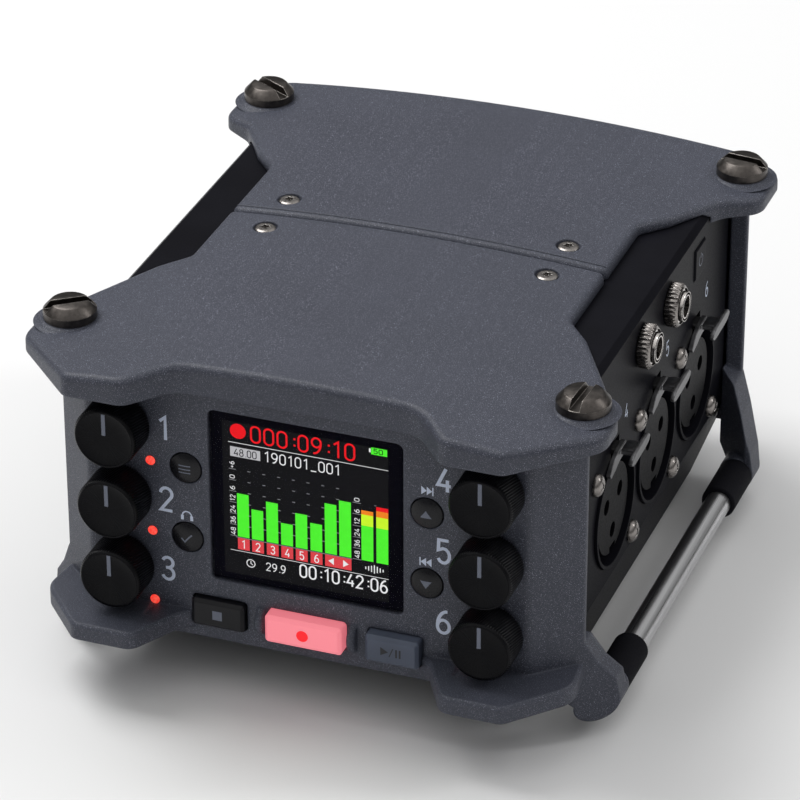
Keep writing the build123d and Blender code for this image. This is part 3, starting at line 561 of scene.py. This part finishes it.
# ---------------------------------------------------------------- knobs
def build_knob(number):
    """A cap with a slanted knurl and a turned face, and its pointer line."""
    node = f"knob_{number}"
    low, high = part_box(node)
    x, _, z = centre_mm(node)
    front = low.y / MM
    radius, length, teeth, rows = (high.x - low.x) / 2 / MM, 6.2, 76, 16
    profile = [(radius - 0.25, length), (radius, length - 0.2)]
    profile += [(radius, length - 0.2 - (length - 0.75) * i / rows) for i in range(1, rows + 1)]
    profile += [(radius - 0.22, 0.22), (radius - 0.42, 0.03)]

    def knurl(row, r, height, angle):
        if not 1 <= row <= rows + 1:
            return r
        phase = teeth * angle + (height - 0.5) * 3.4
        return r - 0.16 * (0.5 - 0.5 * math.cos(phase)) ** 0.6

    solid = Solid()
    verts, faces = turned(profile, teeth * 5, knurl)
    solid.add(verts, flipped(faces))
    face = [(radius - 0.42, 0.03), (radius - 0.62, 0.0), (radius - 0.78, 0.08), (2.6, 0.13), (0.02, 0.2)]
    verts, faces = capped(face, 96)
    solid.add(verts, flipped(faces), 1)
    solid.add(*turned([(radius - 0.25, length), (2.6, length - 0.3)], 96))
    placed = [(a, c, b) for a, b, c in solid.verts]
    outward(piece(f"knob_cap_{number}", placed, solid.faces, [KNOB, KNOB_FACE], node, "knob_black",
                  at=(x, front, z), stands_for=(node,), which=solid.kinds))
    half_width, end_gap = 0.33, 0.75
    line = box_shape(-half_width, half_width, 0.02, 0.3, end_gap, radius - end_gap)
    mark = piece(f"knob_mark_{number}", *line, PRINT_DIM, node, "knob_black", at=(x, front, z), smooth=False)
    bevelled(mark, 0.05)


for number in range(1, 7):
    build_knob(number)


# ---------------------------------------------------------------- panel print
marks = Flat()
KNOB_Z = [centre_mm(f"knob_{n}")[2] for n in (1, 2, 3)]
for number, column in enumerate((-24.65, -24.65, -24.75, 21.95, 21.95, 21.95)):
    marks.text(str(number + 1), column, KNOB_Z[number % 3] - 2.1, 4.1, weight=0.135, aspect=0.96)
row_z = [centre_mm("menu_button")[2], centre_mm("enter_button")[2]]
skip_z = [row_z[0] + 4.0, row_z[1] + 3.8]
for u, v, way in ((20.2, skip_z[0], 1), (20.0, skip_z[1], -1)):
    for shift in (-0.95, -0.05):
        foot, tip = u + way * shift, u + way * (shift + 0.9)
        marks.polygon([(foot, v - 0.75), (tip, v), (foot, v + 0.75)][::way])
    marks.rect(u + way * 0.85, v - 0.75, u + way * 1.05, v + 0.75)
u, v = -20.2, row_z[1] + 3.95
marks.stroke(arc(u, v - 0.1, 0.8, 0.85, 0, 180, 12), 0.24)
marks.layer = LAYERS - 1
for side in (-1, 1):
    marks.rect(u + side * 0.55, v - 0.85, u + side * 1.05, v + 0.02)
marks.make("panel_marks", on_panel, PRINT, "casting")


# ---------------------------------------------------------------- round buttons
def dome_place(node):
    """Places marks on a button's domed front."""
    x, _, z = centre_mm(node)
    front, radius, gap = low_mm(node)[1], 6.5, 0.03

    def place(u, v):
        return (x + u, front + radius - math.sqrt(radius ** 2 - u * u - v * v) - gap, z + v)
    return place


icon = Flat()
for line in (-0.62, 0.0, 0.62):
    for part in range(6):
        icon.rect(-1.0 + part / 3, line - 0.1, -1.0 + (part + 1) / 3, line + 0.1)
icon.make("menu_mark", dome_place("menu_button"), PRINT_DIM, "button_black", "menu_button")
icon = Flat()
icon.stroke([(-0.85, 0.0), (-0.55, -0.3), (-0.25, -0.62), (0.15, -0.1), (0.55, 0.35), (0.95, 0.75)], 0.26)
icon.make("enter_mark", dome_place("enter_button"), PRINT_DIM, "button_black", "enter_button")
for name, way in (("up", 1), ("down", -1)):
    icon = Flat()
    for part in range(6):
        a, b = way * (-0.62 + part * 0.22), way * (-0.62 + (part + 1) * 0.22)
        wide_a, wide_b = 0.95 * (1 - part / 6), 0.95 * (1 - (part + 1) / 6)
        for k in range(5):
            left, right = -1 + 0.4 * k, -0.6 + 0.4 * k
            corners = [(left * wide_a, a), (right * wide_a, a), (right * wide_b, b), (left * wide_b, b)]
            icon.polygon(corners[::way])
    node = f"{name}_button"
    icon.make(f"{name}_mark", dome_place(node), PRINT_DIM, "button_black", node)


# ---------------------------------------------------------------- transport keys
KEY_MARK_Z = SCREEN_Z - 21.8


def key_place(node):
    """Places marks on a key's front."""
    x, front = centre_mm(node)[0], low_mm(node)[1]

    def place(u, v):
        return (x + u, front - PRINT_GAP, KEY_MARK_Z + v)
    return place


icon = Flat()
icon.rect(-0.82, -0.78, 0.82, 0.86)
icon.make("stop_mark", key_place("stop_key"), PRINT_DIM, "key_black", "stop_key")
icon = Flat()
icon.disc(0, 0, 1.0)
record_dot = lit("record_dot", (0.86, 0.03, 0.04), 0.9, (0.4, 0.01, 0.01))
icon.make("record_mark", key_place("record_key"), record_dot, "key_record", "record_key")
icon = Flat()
icon.polygon([(-1.75, -0.7), (-0.45, 0.05), (-1.75, 0.8)])
icon.stroke([(-0.3, -0.75), (0.35, 0.85)], 0.16)
icon.rect(0.75, -0.7, 1.05, 0.8)
icon.rect(1.35, -0.7, 1.65, 0.8)
icon.make("play_mark", key_place("play_key"), PRINT_DARK, "key_grey", "play_key")


# ---------------------------------------------------------------- display
LCD_SIZE, LCD_UNITS = 27.72, 240
LCD_STEP = LCD_SIZE / LCD_UNITS
LCD_LEFT, LCD_FOOT = -LCD_SIZE / 2 - 0.22, SCREEN_Z - LCD_SIZE / 2 - 0.38
LCD_Y = low_mm("display_window")[1] + 0.12
LCD_LOOKS = {
    "back": (0.0075, 0.0075, 0.0085), "green": (0.085, 0.93, 0.035), "yellow": (0.62, 0.98, 0.03),
    "orange": (0.92, 0.24, 0.02), "red": (0.86, 0.012, 0.018), "grey": (0.50, 0.50, 0.52),
    "tags": (0.74, 0.062, 0.075), "dim": (0.30, 0.30, 0.32), "white": (0.84, 0.84, 0.86),
    "ink": (0.006, 0.006, 0.008),
}
LCD_DEPTH = {"back": 0.0, "dim": 0.03, "white": 0.04, "ink": 0.04}
LCD_USUAL_DEPTH = 0.02


def lcd_place(depth):
    """Places marks on the screen, at a depth in front of its back."""
    def place(u, v):
        return (LCD_LEFT + u * LCD_STEP, LCD_Y - depth, LCD_FOOT + v * LCD_STEP)
    return place


lcd = {name: Flat() for name in LCD_LOOKS}
GREEN, YELLOW, ORANGE, RED = lcd["green"], lcd["yellow"], lcd["orange"], lcd["red"]
WHITE, GREY, DIM, TAGS, INK = lcd["white"], lcd["grey"], lcd["dim"], lcd["tags"], lcd["ink"]
lcd["back"].rect(0, 0, LCD_UNITS, LCD_UNITS)


def up(v):
    """Screen rows are counted from the top."""
    return LCD_UNITS - v


RED.disc(23.4, up(13.8), 11.6)
RED.text("000:09:10", 42.5, up(26.6), 24.5, width=149, weight=0.115)
GREEN.rect(215.5, up(11.2), 238.5, up(0.5))
WHITE.rect(212.6, up(8.4), 215.0, up(2.4))
INK.text("50", 219.5, up(9.3), 7.2, width=12.5, weight=0.17)
WHITE.rect(9, up(32.5), 240, up(31.6))
GREY.rect(11.5, up(54.0), 55.3, up(38.8))
INK.text("48.00", 17.5, up(52.0), 10.6, width=32.0, weight=0.13)
WHITE.text("190101_001", 61.5, up(53.4), 15.6, width=109, weight=0.105)
ROWS = [74.2, 91.4, 108.9, 126.5, 144.2, 161.7]
for row in ROWS + [179.6]:
    DIM.rect(9.0, up(row + 0.4), 19.0, up(row - 0.4))
LEVELS = [
    (72.5, "+6", 10), (88.5, "0", 4.6), (106.0, "6", 4.6), (124.5, "12", 9),
    (142.5, "24", 10.5), (160.0, "36", 10.5), (177.5, "48", 10.5),
]
for row, label, span in LEVELS:
    WHITE.text(label, 17.0, up(row), 6.8, width=span, weight=0.15, turned_up=True)
for row, label, span in LEVELS[1:]:
    WHITE.text(label, 198.0, up(row), 6.8, width=span, weight=0.15, turned_up=True)
    DIM.rect(188.5, up(row + 2.9), 200.5, up(row + 2.1))
for row in ROWS:
    for column in (38.2, 60.0, 81.6, 103.0, 124.2, 145.5, 167.0):
        DIM.rect(column - 2.2, up(row + 0.45), column + 2.2, up(row - 0.45))
BARS = [
    (19.9, 111.4), (40.8, 132.5), (62.4, 116.0), (83.8, 145.2),
    (105.0, 125.4), (126.6, 136.4), (147.8, 101.0), (168.7, 92.5),
]
BAR_WIDTH, BAR_FOOT, TAG_TOP, TAG_FOOT = 17.2, 179.8, 182.0, 200.2
for left, top in BARS:
    GREEN.rect(left, up(BAR_FOOT), left + BAR_WIDTH, up(top))
DIM.rect(17.5, up(181.6), 187.5, up(180.8))
for number, (left, _) in enumerate(BARS[:6], 1):
    TAGS.rect(left, up(TAG_FOOT), left + BAR_WIDTH, up(TAG_TOP))
    WHITE.text(str(number), left + 6.0, up(197.6), 12.4, weight=0.12, aspect=0.9)
TAGS.rect(147.8, up(TAG_FOOT), 186.0, up(TAG_TOP))
WHITE.polygon([(160.5, up(185.5)), (152.5, up(191.0)), (160.5, up(196.6))])
WHITE.polygon([(174.0, up(185.5)), (174.0, up(196.6)), (182.0, up(191.0))])
YELLOW_FOOT, ORANGE_FOOT, RED_FOOT = 124.8, 107.6, 98.2
for left, top in ((200.8, 101.0), (222.4, 91.8)):
    right = left + BAR_WIDTH
    GREEN.rect(left, up(BAR_FOOT), right, up(YELLOW_FOOT))
    YELLOW.rect(left, up(YELLOW_FOOT), right, up(ORANGE_FOOT))
    ORANGE.rect(left, up(ORANGE_FOOT), right, up(max(top, RED_FOOT)))
    if top < RED_FOOT:
        RED.rect(left, up(RED_FOOT), right, up(top))
DIM.rect(219.5, up(90.6), 222.5, up(89.8))
for i, height in enumerate((4, 7, 10, 13, 10, 7, 4)):
    WHITE.rect(206 + i * 4.2, up(191 + height / 2), 207.6 + i * 4.2, up(191 - height / 2))
WHITE.rect(9, up(203.2), 240, up(202.4))
WHITE.stroke(arc(38.5, up(219.5), 6.0, 6.0, 0, 360, 24)[:-1], 1.3, True)
WHITE.stroke([(38.5, up(215.6)), (38.5, up(219.5)), (41.6, up(221.4))], 1.2)
WHITE.text("29.9", 61.5, up(225.6), 12.2, width=27.5, weight=0.11)
WHITE.text("00:10:42:06", 111.0, up(225.4), 19.6, width=126.5, weight=0.125)
for name, flat in lcd.items():
    look = lit(f"lcd_{name}", LCD_LOOKS[name])
    flat.make(f"lcd_{name}", lcd_place(LCD_DEPTH.get(name, LCD_USUAL_DEPTH)), look, "screen")
edge = Flat()
half_width, half_height, edge_z = 15.95, 15.2, SCREEN_Z - 0.3
edge.rect(-half_width, edge_z - half_height, half_width, edge_z + half_height)
edge.make("screen_border", lambda u, v: (u, LCD_Y + 0.06, v), BORDER, "screen")


# ---------------------------------------------------------------- screws
def corner(sx, sy):
    """Names a corner: front or rear, then left or right."""
    return ("r" if sy > 0 else "f") + ("r" if sx > 0 else "l")


SLOT_TURNS = {(-1, 1): -30, (-1, -1): 37, (1, -1): 87, (1, 1): -7}
HEAD_R, SEAT_Z, SLOT_DEPTH, HALF_SLOT = 4.3, 60.1, 1.35, 0.85
low, high = low_mm("thumb_screws"), high_mm("thumb_screws")
tall = high[2] - SEAT_Z
head = [(1.6, 0), (4.2, 0.0), (HEAD_R, 0.12)]
head += [(HEAD_R, tall - 1.42), (4.22, tall - 1.30), (3.12, tall - 0.10), (2.95, tall)]
skirt = [(4.45, 0.6), (4.52, 0.6), (4.75, 0.52), (4.95, 0.33), (5.15, 0.16), (5.5, 0.02), (5.9, -0.03)]
for (sx, sy), turn in SLOT_TURNS.items():
    x, y = sx * (high[0] - HEAD_R), high[1] - HEAD_R if sy > 0 else low[1] + HEAD_R
    screw = piece(f"thumb_screw_{corner(sx, sy)}", *capped(head, 96, bottom=True), GUNMETAL, ROOT, "gunmetal",
                  at=(x, y, SEAT_Z), stands_for=("thumb_screws",) if (sx, sy) == (-1, 1) else ())
    verts, faces = box_shape(-6, 6, -HALF_SLOT, HALF_SLOT, tall - SLOT_DEPTH, tall + 2)
    carve(screw, (turned_about_z(verts, turn), faces))
    verts, faces = turned(skirt, 96)
    piece(f"boss_{corner(sx, sy)}", verts, flipped(faces), PAINT, ROOT, "casting", at=(x, y, SEAT_Z - 0.62))


def lobed(radius, depth, steps=72):
    """A six-lobed socket as a closed cutter about Z."""
    def wave(row, r, height, angle):
        return r * (0.84 + 0.16 * math.cos(6 * angle))

    verts, _ = turned([(radius, -depth), (radius, 1.0)], steps, wave)
    return verts, skin(2, steps)


SOCKET_R = 1.68
low, high = low_mm("cover_screws"), high_mm("cover_screws")
head = [(0.9, -0.6), (1.66, -0.5), (1.72, -0.42), (1.72, -0.12), (1.42, 0.08), (1.3, 0.1)]
for sx in (-1, 1):
    for sy in (-1, 1):
        at = (sx * (high[0] - SOCKET_R), high[1] - SOCKET_R if sy > 0 else low[1] + SOCKET_R, high[2])
        screw = piece(f"cover_screw_{corner(sx, sy)}", *capped(head, 48, bottom=True), SCREW, ROOT, "nickel",
                      at=at, stands_for=("cover_screws",) if (sx, sy) == (1, -1) else ())
        carve(screw, lobed(0.86, 0.35))

INSERT_R, INPUT_PITCH, SCREW_REACH, HEAD_TALL = 7.7, 22.0, 9.6, 1.3
SIDE_X = high_mm("input_screws")[0] - HEAD_TALL
INPUT_Y = [low_mm("left_input_inserts")[1] + INSERT_R + INPUT_PITCH * i for i in range(3)]
INPUT_Z = centre_mm("left_input_inserts")[2]
head = [(1.0, -0.2), (1.92, 0.0), (1.92, 0.35), (1.75, 0.72), (1.42, 1.02), (0.95, 1.22), (0.4, 1.29)]
head.append((0.15, HEAD_TALL))
for side, word in ((-1, "left"), (1, "right")):
    for k, y in enumerate(INPUT_Y):
        for sign, letter in ((-1, "a"), (1, "b")):
            name = f"{word}_screw_{k}{letter}"
            verts, faces = capped(head, 48, bottom=True)
            screw = piece(name, facing(verts, (side, 0, 0)), faces, SCREW, ROOT, "nickel",
                          at=(side * SIDE_X, y + sign * SCREW_REACH, INPUT_Z - sign * SCREW_REACH),
                          stands_for=("input_screws",) if name == "right_screw_0a" else ())
            cut, cut_faces = box_shape(-1.0, 1.0, -0.19, 0.19, 0.55, 2)
            carve(screw, *[(facing(turned_about_z(cut, turn), (side, 0, 0)), cut_faces) for turn in (20, 110)])


# ---------------------------------------------------------------- input levers
def swept(path, half_width, half_height, soft=0.25):
    """A bar with softened corners along a path of (x, z, width scale). Widths run along Y."""
    ring = []
    for cy, cz, start in ((1, 1, 0), (-1, 1, 90), (-1, -1, 180), (1, -1, 270)):
        for a in (start, start + 30, start + 60, start + 90):
            ring.append((cy * (half_width - soft) + soft * math.cos(math.radians(a)),
                         cz * (half_height - soft) + soft * math.sin(math.radians(a))))
    verts = []
    for i, (x, z, wide) in enumerate(path):
        before, after = path[max(0, i - 1)], path[min(len(path) - 1, i + 1)]
        way = Vector((after[0] - before[0], after[1] - before[1])).normalized()
        verts += [(x - way.y * v, u * wide, z + way.x * v) for u, v in ring]
    return verts, skin(len(path), len(ring))


BLADE_TOP = 13.3


def build_lever(number, side, y):
    """A stem out of its slot, a hook down over the rim, and a blade for the finger."""
    node = f"input_lever_{number}"
    low, high = low_mm(node), high_mm(node)
    at_z, tip_x = high[2] - BLADE_TOP, max(abs(low[0]), abs(high[0]))
    solid = Solid()
    stem = [(37.5, 11.3), (41.0, 11.3), (41.8, 11.38), (42.5, 11.55), (43.3, 11.7)]
    stem += [(tip_x - 1.2, 11.75), (tip_x - 0.5, 11.75)]
    solid.add(*swept([(x, z, 1.0 if x < 43 else 1.12) for x, z in stem], 1.6, 0.5))
    section = [(0.0, -0.8), (0.0, 0.8), (0.12, 1.0), (0.55, 1.0)]
    section += [(0.72, 0.8), (0.72, -0.8), (0.55, -1.0), (0.12, -1.0)]
    blade, rows = [], 25
    for i in range(rows):
        t = -1 + 2 * i / (rows - 1)
        half = max(1.08 * (1 - abs(t) ** 5) ** 0.5, 0.12)
        blade += [(tip_x - 0.75 + dx, 4.6 * t - 0.9, 12.2 + 0.22 * t + dz * half) for dx, dz in section]
    solid.add(blade, skin(rows, len(section)))
    hook, rows, hook_r = [], 15, 11.3
    for i in range(rows):
        a = math.radians(84 + 40 * i / (rows - 1))
        wide = 1.05 if i < 10 else 1.05 * (1 - (i - 10) / 7)
        for r, x in ((-wide, 41.65), (wide, 41.65), (wide, 42.45), (-wide, 42.45)):
            hook.append((x, (hook_r + r) * math.cos(a), (hook_r + r) * math.sin(a)))
    solid.add(hook, skin(rows, 4))
    obj = piece(f"lever_{number}", [(side * x, v, z) for x, v, z in solid.verts], solid.faces, LEVER, node,
                "lever_steel", at=(0, y, at_z), stands_for=(node,))
    outward(obj)
    bevelled(obj, 0.1)


for number in range(1, 7):
    build_lever(number, -1 if number < 4 else 1, INPUT_Y[(number - 1) % 3])


# ---------------------------------------------------------------- jacks
TEETH, NUT_R, JACK_X = 30, 3.7, 41.0
low, high = low_mm("jack_nuts"), high_mm("jack_nuts")
nut = [(3.05, 0.0), (3.4, 0.0), (NUT_R, 0.25), (NUT_R, 1.75), (3.42, 2.05), (3.05, 2.3), (2.98, 2.3)]
barrel = [(3.0, 0.0)]
for ridge in range(6):
    z = 0.25 + ridge * 0.28
    barrel += [(3.0, z), (2.86, z + 0.14)]
barrel += [(3.0, 1.98), (2.9, 2.05), (2.52, 2.07), (2.5, 2.75), (2.38, 2.9), (2.0, 2.9), (1.86, 2.75)]
barrel += [(1.83, 2.3), (1.81, -6.0)]
throat = [(1.8, 1.2), (1.7, 1.1), (1.68, -6.0), (1.3, -6.4), (0.02, -6.4)]


def serrated(row, r, height, angle):
    return r - 0.26 * (0.5 + 0.5 * math.cos(TEETH * angle)) ** 0.8 if 2 <= row <= 3 else r


for word, side, y, z in (
    ("right_front", 1, low[1] + NUT_R, high[2] - NUT_R),
    ("right_rear", 1, high[1] - NUT_R, high[2] - NUT_R),
    ("left", -1, low[1] + NUT_R, low[2] + NUT_R),
):
    for name, profile, segments, edge, look, slot in (
        ("nut", nut, TEETH * 8, serrated, NUT, "nickel"),
        ("barrel", barrel, 64, None, NICKEL, "nickel"),
        ("throat", throat, 48, None, INSERT, "body_black"),
    ):
        verts, faces = turned(profile, segments, edge)
        piece(f"jack_{name}_{word}", facing(verts, (side, 0, 0)), faces, look, ROOT, slot,
              at=(side * JACK_X, y, z), stands_for=("jack_nuts",) if (name, word) == ("nut", "left") else ())


# ---------------------------------------------------------------- volume wheel
low, high = low_mm("volume_wheel"), high_mm("volume_wheel")
wheel_r, wheel_at = (high[1] - low[1]) / 2, (low[0], (low[1] + high[1]) / 2, (low[2] + high[2]) / 2)


def wheel_knurl(row, r, height, angle):
    return r - 0.14 * (0.5 - 0.5 * math.cos(40 * angle)) ** 0.7 if 1 <= row <= 2 else r


solid = Solid()
rim = [(wheel_r - 0.25, 2.2), (wheel_r, 2.0), (wheel_r, 0.32), (wheel_r - 0.28, 0.05)]
verts, faces = turned(rim, 320, wheel_knurl)
solid.add(verts, flipped(faces))
verts, faces = capped([(wheel_r - 0.28, 0.05), (wheel_r - 0.4, 0.0), (wheel_r - 0.55, 0.06), (0.02, 0.12)], 64)
solid.add(verts, flipped(faces))
solid.add(*turned([(wheel_r - 0.25, 2.2), (1.5, 2.15), (1.5, 5.0)], 64))
piece("volume_knurl", facing(solid.verts, (1, 0, 0)), solid.faces, KNOB, "volume_wheel", "knob_black",
      at=wheel_at, stands_for=("volume_wheel",))
line = box_shape(0.03, 0.3, -0.22, 0.22, 0.7, wheel_r - 0.6)
piece("volume_mark", *line, PRINT_DIM, "volume_wheel", "knob_black", at=wheel_at, smooth=False)


# ---------------------------------------------------------------- rear and left marks
sled = Flat()
sled_y, sled_z = high_mm("battery_sled")[1] + PRINT_GAP, centre_mm("battery_sled")[2]
CELL_AT, CELL_RING = 7.5, 5.4
for u in (-CELL_AT, CELL_AT):
    for v in (-CELL_AT, CELL_AT):
        sled.stroke(arc(u, v, CELL_RING, CELL_RING, 0, 360, 40)[:-1], 0.25, True)
        sled.layer = LAYERS - 1
        sled.rect(u - 1.6, v - 0.2, u + 1.6, v + 0.2)
        if u * v > 0:
            sled.rect(u - 0.2, v - 1.6, u + 0.2, v - 0.21)
            sled.rect(u - 0.2, v + 0.21, u + 0.2, v + 1.6)
sled.make("sled_marks", lambda u, v: (-u, sled_y, sled_z + v), PRINT, "sled", out=(0, 1, 0))
arrow = Flat()
door_y = low_mm("door_latch")[1] + 3.1 + PRINT_GAP
arrow.polygon([(-1.0, 41.9), (0.0, 40.8), (1.0, 41.9)])
arrow.make("latch_arrow", lambda u, v: (-u, door_y, v), PRINT_DIM, "body_black", "battery_door", out=(0, 1, 0))
card = Flat()
card_x, card_y, card_z = low_mm("card_door")[0] - PRINT_GAP, *centre_mm("card_door")[1:]
card.stroke([(-1.3, -1.6), (1.3, -1.6), (1.3, 1.6), (-0.6, 1.6), (-1.3, 0.9)], 0.24, True)
card.make("card_mark", lambda u, v: (card_x, card_y - u, card_z + v), PRINT_DIM, "body_black", "card_door",
          out=(-1, 0, 0))


# ---------------------------------------------------------------- light pipes
PIPE_R, PIPE_DROP = 0.8, 6.3
PIPE_X = high_mm("light_pipes")[0] - PIPE_R
UNLIT = moulded("unlit_lamp", (0.10, 0.012, 0.012), (0.2, 0.3))
for side, word, look in ((-1, "left", LAMP), (1, "right", UNLIT)):
    solid = Solid()
    for z in KNOB_Z:
        verts, faces = capped([(0.78, -1.5), (0.78, 0.0), (0.66, 0.16), (0.4, 0.27), (0.15, 0.3)], 32)
        solid.add(facing(verts, (0, -1, 0), (side * PIPE_X, PANEL_Y, z - PIPE_DROP)), faces)
    solid.make(f"{word}_lamps", look, ROOT, "light_pipe")


# ---------------------------------------------------------------- side print
def on_side(side):
    """Places marks on a flank, where u runs to the right as the flank is faced."""
    def place(u, v):
        return (side * (SIDE_X + PRINT_GAP), side * u, v)
    return place


DIGIT_U, DIGIT_V, DIGIT_TALL = 6.0, 13.6, 2.6
for side, word, digits in ((1, "right", "456"), (-1, "left", "123")):
    flank = Flat()
    for digit, y in zip(digits, INPUT_Y):
        flank.text(digit, side * (y - side) + DIGIT_U, INPUT_Z + DIGIT_V, DIGIT_TALL, weight=0.11, aspect=0.95)
    flank.make(f"{word}_side_marks", on_side(side), PRINT, "body_black", out=(side, 0, 0))
power = Flat()
power.stroke(arc(0, 0, 1.0, 1.0, 120, 420, 20), 0.2)
power.stroke([(0, 0.4), (0, 1.35)], 0.2)
PX, PY, PZ = high_mm("power_button")[0] + PRINT_GAP, *centre_mm("power_button")[1:]
power.make("power_mark", lambda u, v: (PX, PY + u, PZ + v), PRINT_DIM, "body_black", "power_button",
           out=(1, 0, 0))


# ---------------------------------------------------------------- floor, light and camera
floor = bpy.data.meshes.new("floor")
floor.from_pydata([(-6, -6, 0), (6, -6, 0), (6, 6, 0), (-6, 6, 0)], [], [(0, 1, 2, 3)])
floor_obj = bpy.data.objects.new("floor", floor)
bpy.context.scene.collection.objects.link(floor_obj)
n = Nodes("studio_floor")
tone = n.ramp(n.noise(n.object_space(), 3.0, 2.0), [(0, (0.80, 0.80, 0.80)), (1, (0.84, 0.84, 0.84))])
n.shade(Base_Color=tone, Roughness=0.9, Specular_IOR_Level=0.1)
floor.materials.append(n.mat)

world = bpy.data.worlds.new("studio")
bpy.context.scene.world = world
world.use_nodes = True
sky = world.node_tree
background = sky.nodes["Background"]
coords = sky.nodes.new("ShaderNodeTexCoord")
parts = sky.nodes.new("ShaderNodeSeparateXYZ")
height = sky.nodes.new("ShaderNodeMapRange")
for key, value in (("From Min", 0.10), ("From Max", 0.95), ("To Min", 0.0), ("To Max", 1.0)):
    height.inputs[key].default_value = value
sky.links.new(coords.outputs["Generated"], parts.inputs[0])
sky.links.new(parts.outputs["Z"], height.inputs["Value"])
sky.links.new(height.outputs["Result"], background.inputs["Strength"])
background.inputs["Color"].default_value = (1, 1, 1, 1)


def softbox(name, at, target, size, power):
    """A rectangular light, in metres and watts, turned to a target."""
    light = bpy.data.lights.new(name, "AREA")
    light.shape, light.size, light.size_y, light.energy = "RECTANGLE", size[0], size[1], power
    obj = bpy.data.objects.new(name, light)
    bpy.context.scene.collection.objects.link(obj)
    obj.location = at
    obj.rotation_mode = "QUATERNION"
    obj.rotation_quaternion = (Vector(target) - Vector(at)).to_track_quat("-Z", "Y")


softbox("key", (-0.45, 0.10, 0.80), (0, 0, 0.03), (0.5, 0.5), 5.0)
softbox("front", (-0.50, -0.80, 0.45), (0, -0.03, 0.03), (0.35, 0.3), 0.2)
softbox("right", (0.7, 0.30, 0.60), (0, 0, 0.03), (0.12, 0.4), 1.2)

CAMERA_AT = Vector((0.221899, -0.604527, 0.394652))
RIGHT = Vector((0.93791, 0.34688, -0.00226))
UP = Vector((-0.16870, 0.46181, 0.87079))
FORWARD = Vector((-0.30310, 0.81634, -0.49166))
camera_data = bpy.data.cameras.new("camera")
camera_data.sensor_width, camera_data.lens = 36.0, 200.45
camera_data.clip_start, camera_data.clip_end = 0.05, 50
camera = bpy.data.objects.new("camera", camera_data)
bpy.context.scene.collection.objects.link(camera)
camera.matrix_world = Matrix.Translation(CAMERA_AT) @ Matrix((RIGHT, UP, -FORWARD)).transposed().to_4x4()
bpy.context.scene.camera = camera
bpy.context.scene.view_settings.view_transform = "Standard"
